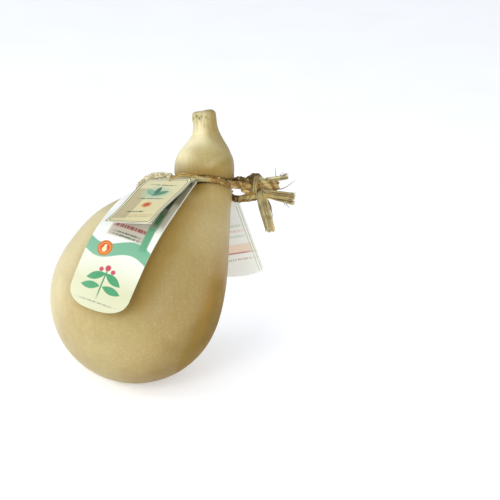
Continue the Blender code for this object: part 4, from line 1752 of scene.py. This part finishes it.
SPRIG_GREEN = "#2f8a58"
SPRIG_RED = "#b23a52"
LONG_PRINT = PrintedCard(
    "printed_card_long", "#e4e8e0", "#c4c5a2", (92.0, 128.0),
    (
        Patch(BOX, (2.6, 66.0), (18.6, 19.0), "#b5a99c", soft=1.5, strength=0.9),
        Patch(DASHES, (2.0, 74.0), (15.5, 1.7), "#94504f", soft=0.4),
        Patch(DASHES, (2.0, 80.5), (12.0, 0.8), "#5d6f58", soft=0.4),
        Patch(DASHES, (2.0, 83.5), (12.0, 0.8), "#5d6f58", soft=0.4),
        Patch(WAVE, (0.0, 96.0), (30.0, 6.2), "#6fa888", soft=0.5),
        # Painted shadow of the small card: grey-olive along the right edge, a dark corner in the
        # gap between the cards, and the green stripe darkened nearly to black at the top; its
        # mid green lower down is print.
        Patch(BOX, (24.0, 16.0), (3.6, 24.0), "#7f7c63", soft=0.8),
        Patch(BOX, (24.2, 52.0), (3.2, 14.0), "#aaa691", soft=1.2, strength=0.9),
        Patch(BOX, (22.4, 7.0), (4.0, 7.0), "#51543a", soft=1.2),
        Patch(BOX, (19.8, 78.5), (3.2, 12.5), "#5a9a76", soft=0.8, turn=-4.0),
        Patch(BOX, (19.6, 57.0), (3.0, 9.0), "#2f5f3c", soft=2.0),
        Patch(BOX, (19.2, 27.0), (2.6, 23.0), "#1f2d19", soft=0.9),
        # Painted light: whiter paper on the card's left.
        Patch(BOX, (-24.0, 36.0), (8.0, 26.0), "#fbfcf6", soft=3.0),
        Patch(BOX, (0.0, 3.0), (24.0, 5.0), "#d2caa0", soft=0.6),
        Patch(DISC, (-11.0, 98.0), (6.9, 6.9), "#e9a531"),
        Patch(RING, (-11.0, 98.0), (6.9, 6.9), "#bb6a28"),
        Patch(DISC, (-11.0, 98.0), (4.6, 4.6), "#c9452f"),
        Patch(DISC, (-11.0, 99.2), (2.2, 2.4), "#efd99a"),
        Patch(DISC, (-11.0, 96.2), (1.2, 1.6), "#efd99a"),
        *(Patch(LEAF, (side * reach, fall), (9.0, high), SPRIG_GREEN, turn=side * turn)
          for reach, fall, high, turn in ((8.0, 122.0, 3.4, 24.0), (10.0, 131.0, 3.2, 8.0))
          for side in (1, -1)),
        Patch(BOX, (0.0, 126.0), (0.7, 12.0), SPRIG_GREEN),
        *(Patch(DISC, (aside, fall), (size, size), SPRIG_RED)
          for aside, fall, size in ((0.0, 113.6, 2.6), (-5.6, 115.8, 2.0),
                                    (5.6, 115.8, 2.0))),
        Patch(DASHES, (0.0, 143.4), (15.0, 0.6), "#8f917c"),
    ))
SMALL_PRINT = PrintedCard(
    "printed_card_small", "#e2daad", "#dfd4a0", (10.0, 70.0),
    (
        # Painted shade: the card's left part darker tan.
        Patch(BOX, (-13.0, 45.0), (6.5, 25.0), "#bfb185", soft=0.6),
        Patch(DISC, (0.0, 27.0), (13.0, 11.0), "#b4c9a6", soft=4.0, strength=0.8),
        Patch(LEAF, (-4.6, 26.0), (8.0, 3.4), "#7fae90", turn=38.0),
        Patch(LEAF, (4.2, 27.0), (8.0, 3.4), "#4c8a6a", turn=-34.0),
        Patch(LEAF, (0.0, 22.5), (7.0, 2.4), "#2c6f54", turn=88.0),
        Patch(DASHES, (0.0, 12.5), (11.0, 0.7), "#43603c"),
        Patch(DASHES, (0.0, 36.5), (11.0, 0.7), "#43603c"),
        Patch(DISC, (2.0, 47.0), (5.0, 5.0), "#dfb06a", soft=0.9),
        Patch(DISC, (2.0, 47.0), (3.3, 3.3), "#c2491f", soft=0.5),
        Patch(DASHES, (-3.0, 58.6), (8.0, 1.0), "#49542c"),
        Patch(DASHES, (1.0, 64.6), (15.0, 0.6), "#b08b5e", strength=0.8),
        Patch(DASHES, (1.0, 67.4), (15.0, 0.6), "#a9a06e", strength=0.8),
        *(Patch(FRAME, (0.0, 38.6), (21.9 - inset, 38.2 - inset), code, soft=9.0, line=line)
          for inset, code, line in ((0.0, "#5c5a36", 0.6), (1.0, "#f4f1d0", 0.55),
                                    (2.0, "#6b6840", 0.42))),
    ))
REAR_PRINT = PrintedCard(
    "printed_card_rear", "#f6faf2", "#f2f6ea", (10.0, 60.0),
    (
        Patch(BOX, (0.0, 47.5), (22.0, 4.0), "#f3d3bd", soft=0.8),
        Patch(BOX, (0.0, 51.9), (20.0, 0.7), "#b9726a", soft=0.4),
        Patch(DASHES, (0.0, 26.0), (18.0, 1.2), "#c3d6bd", soft=0.4),
        Patch(DASHES, (0.0, 31.0), (18.0, 1.0), "#dcc3c0", soft=0.4),
        Patch(DASHES, (0.0, 36.0), (18.0, 1.0), "#c3d6bd", soft=0.4),
        Patch(DASHES, (0.0, 58.0), (18.0, 1.0), "#c9bdb0", soft=0.4),
        Patch(BOX, (23.2, 38.0), (0.4, 36.0), "#a8bba4", soft=0.2),
        Patch(BOX, (20.4, 38.0), (0.5, 35.0), "#b3c4ac", soft=0.2),
    ), translucent=0.7)


@dataclass
class CardSet:
    """The three cards and the threads that hold them."""

    gold: bpy.types.Material
    board: bpy.types.Material
    thread_radius: float = 0.78
    # middle of the rope's back run, where the rear card hangs
    rear_tie: Point = (80.9, 91.6, -23.1)

    def __post_init__(self) -> None:
        """Set the three cards where they hang."""
        self.long = PaperCard(
            "card_long", "long_card", (34.7, 105.2, 13.5), (0.811, 0.012, 0.584),
            (-0.534, -0.390, 0.750), 56.4, 150.0, LONG_PRINT,
            bends=(75.1, 13.2, 39.9, 59.3, 11.3, 33.5), twists=(-44.3, 20.6), bow=2.5,
            top_radius=4.5, end_height=17.0, end_power=2.5, left_cut=(12.0, 40.0),
            right_cut=(0.8, 50.0), hole=(5.0, 13.5), trim=2.6)
        self.small = PaperCard(
            "card_small", "small_card", (31.5, 102.5, 22.3), (0.882, -0.015, 0.471),
            (-0.426, -0.451, 0.784), 44.7, 77.2, SMALL_PRINT, bends=(22.5, 4.9, -2.9, 1.0),
            twists=(-38.2, 16.3, 11.6, -36.5), end_height=1.2, left_cut=(1.6, 8.0),
            hole=(1.5, 3.4), hole_radius=1.3)
        self.rear = PaperCard(
            "card_rear", "rear_card", (68.5, 85.4, -32.6), (0.800, 0.120, 0.590),
            (0.296, -0.912, -0.284), 50.0, 74.5, REAR_PRINT, bends=(4.0, -6.0),
            top_radius=3.0, end_height=5.0)

    def build(self) -> list[bpy.types.Object]:
        """Make the cards and their threads.

        Returns:
            The pieces, in the order in which they are made.
        """
        made = [card.build(self.board) for card in (self.long, self.small, self.rear)]
        made.append(self.front_thread())
        made.append(self.rear_thread())
        return made

    def front_thread(self) -> bpy.types.Object:
        """The thread through both front cards and into the groove over the rope.

        Returns:
            The piece.
        """
        low, low_outward = self.long.hole_frame()
        high, high_outward = self.small.hole_frame()
        paths = []
        for start, middle, end in (
                ((low - low_outward * MM, low, high, high + high_outward * (1.8 * MM)),
                 ((35.2, 103.8, 25.2), (40.0, 105.3, 25.8), (46.0, 105.2, 26.6)),
                 ((108, 25.8, 1.4), (98, 24.2, 2.2))),
                ((high + high_outward * MM, high + high_outward * (2.6 * MM)),
                 ((34.4, 105.0, 23.8), (38.8, 106.7, 24.4), (44.4, 106.8, 25.6)),
                 ((112, 25.4, 2.6), (103, 23.8, 2.8)))):
            places = [*middle, *(ring_point(*place) for place in end)]
            paths.append(smooth_curve([*start, *(leaning(*place) for place in places)],
                                      1.0 * MM))
        return self.wind("thread_front", paths, "card_thread")

    def rear_thread(self) -> bpy.types.Object:
        """The thread loop that ties the rear card to the rope's back run.

        Returns:
            The piece.
        """
        hole, outward = self.rear.hole_frame()
        strand = leaning(*self.rear_tie)
        rise = (strand - hole).normalized()
        # the rope's own direction where the thread goes round it
        along = direction(6.2, -7.2, 0.8)
        side = rise.cross(along).normalized()
        if side.dot(outward) < 0:
            side = -side
        # through the hole, over the card's edge, round the rope 4.5 mm off, and back
        wide = 4.5 * MM
        off_card = outward * (1.7 * MM)
        above = -self.rear.frame_at(self.rear.hole[1])[2]
        edge = hole + above * (6.5 * MM)
        path = [hole - off_card, hole, hole + off_card, edge + off_card,
                strand + side * wide, strand + rise * wide, strand - side * wide,
                edge - off_card, hole + above * (2.2 * MM) - off_card]
        return self.wind("thread_rear", (smooth_curve(path, 1.0 * MM),), "rear_thread")

    def wind(self, name: str, paths: Sequence[Sequence[Vector]],
             node: str) -> bpy.types.Object:
        """Two gold plies wound round each other along each path.

        Args:
            name: the piece's name.
            paths: world points of each length of thread.
            node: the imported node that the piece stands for.

        Returns:
            The thread's piece.
        """
        worker = RushWorker(21)
        half = self.thread_radius
        for path in paths:
            worker.twist(path, lambda share: half, 2.6, 2, (0.3, 0.7), fullness=0.56, sides=6)
        made = as_object(name, worker.gather(), [self.gold], sharp_angle=80.0)
        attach(made, "root")
        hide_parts(node)
        return made


# ---------------------------------------------------------------- all together

def report(pieces: Sequence[bpy.types.Object]) -> None:
    """Log the name and face count of each piece."""
    for piece in pieces:
        log.info("%s: %d faces", piece.name, len(piece.data.polygons))


def main() -> None:
    """Build the studio and the object."""
    logging.basicConfig(level=logging.INFO, format="%(name)s: %(message)s")
    Studio().build()
    rush = TwistedRush("twisted_rush").build()
    # The loop's rush is the same rush painted paler: painted light, where the loop is brightly
    # lit.
    painted_lit_rush = TwistedRush("painted_light_rush", dark="#77643a", umber="#97804f", brown="#b39d6a",
                           straw="#cfbf8c", green="#cdc59b", pale="#f0e9c8").build()
    report([HangingLoop(painted_lit_rush).build()])
    report([Cheese(WaxyRind().build()).build()])
    report(NeckRope(rush).build())
    report(CardSet(GoldThread().build(), BareBoard().build()).build())


if __name__ == "__main__":
    main()
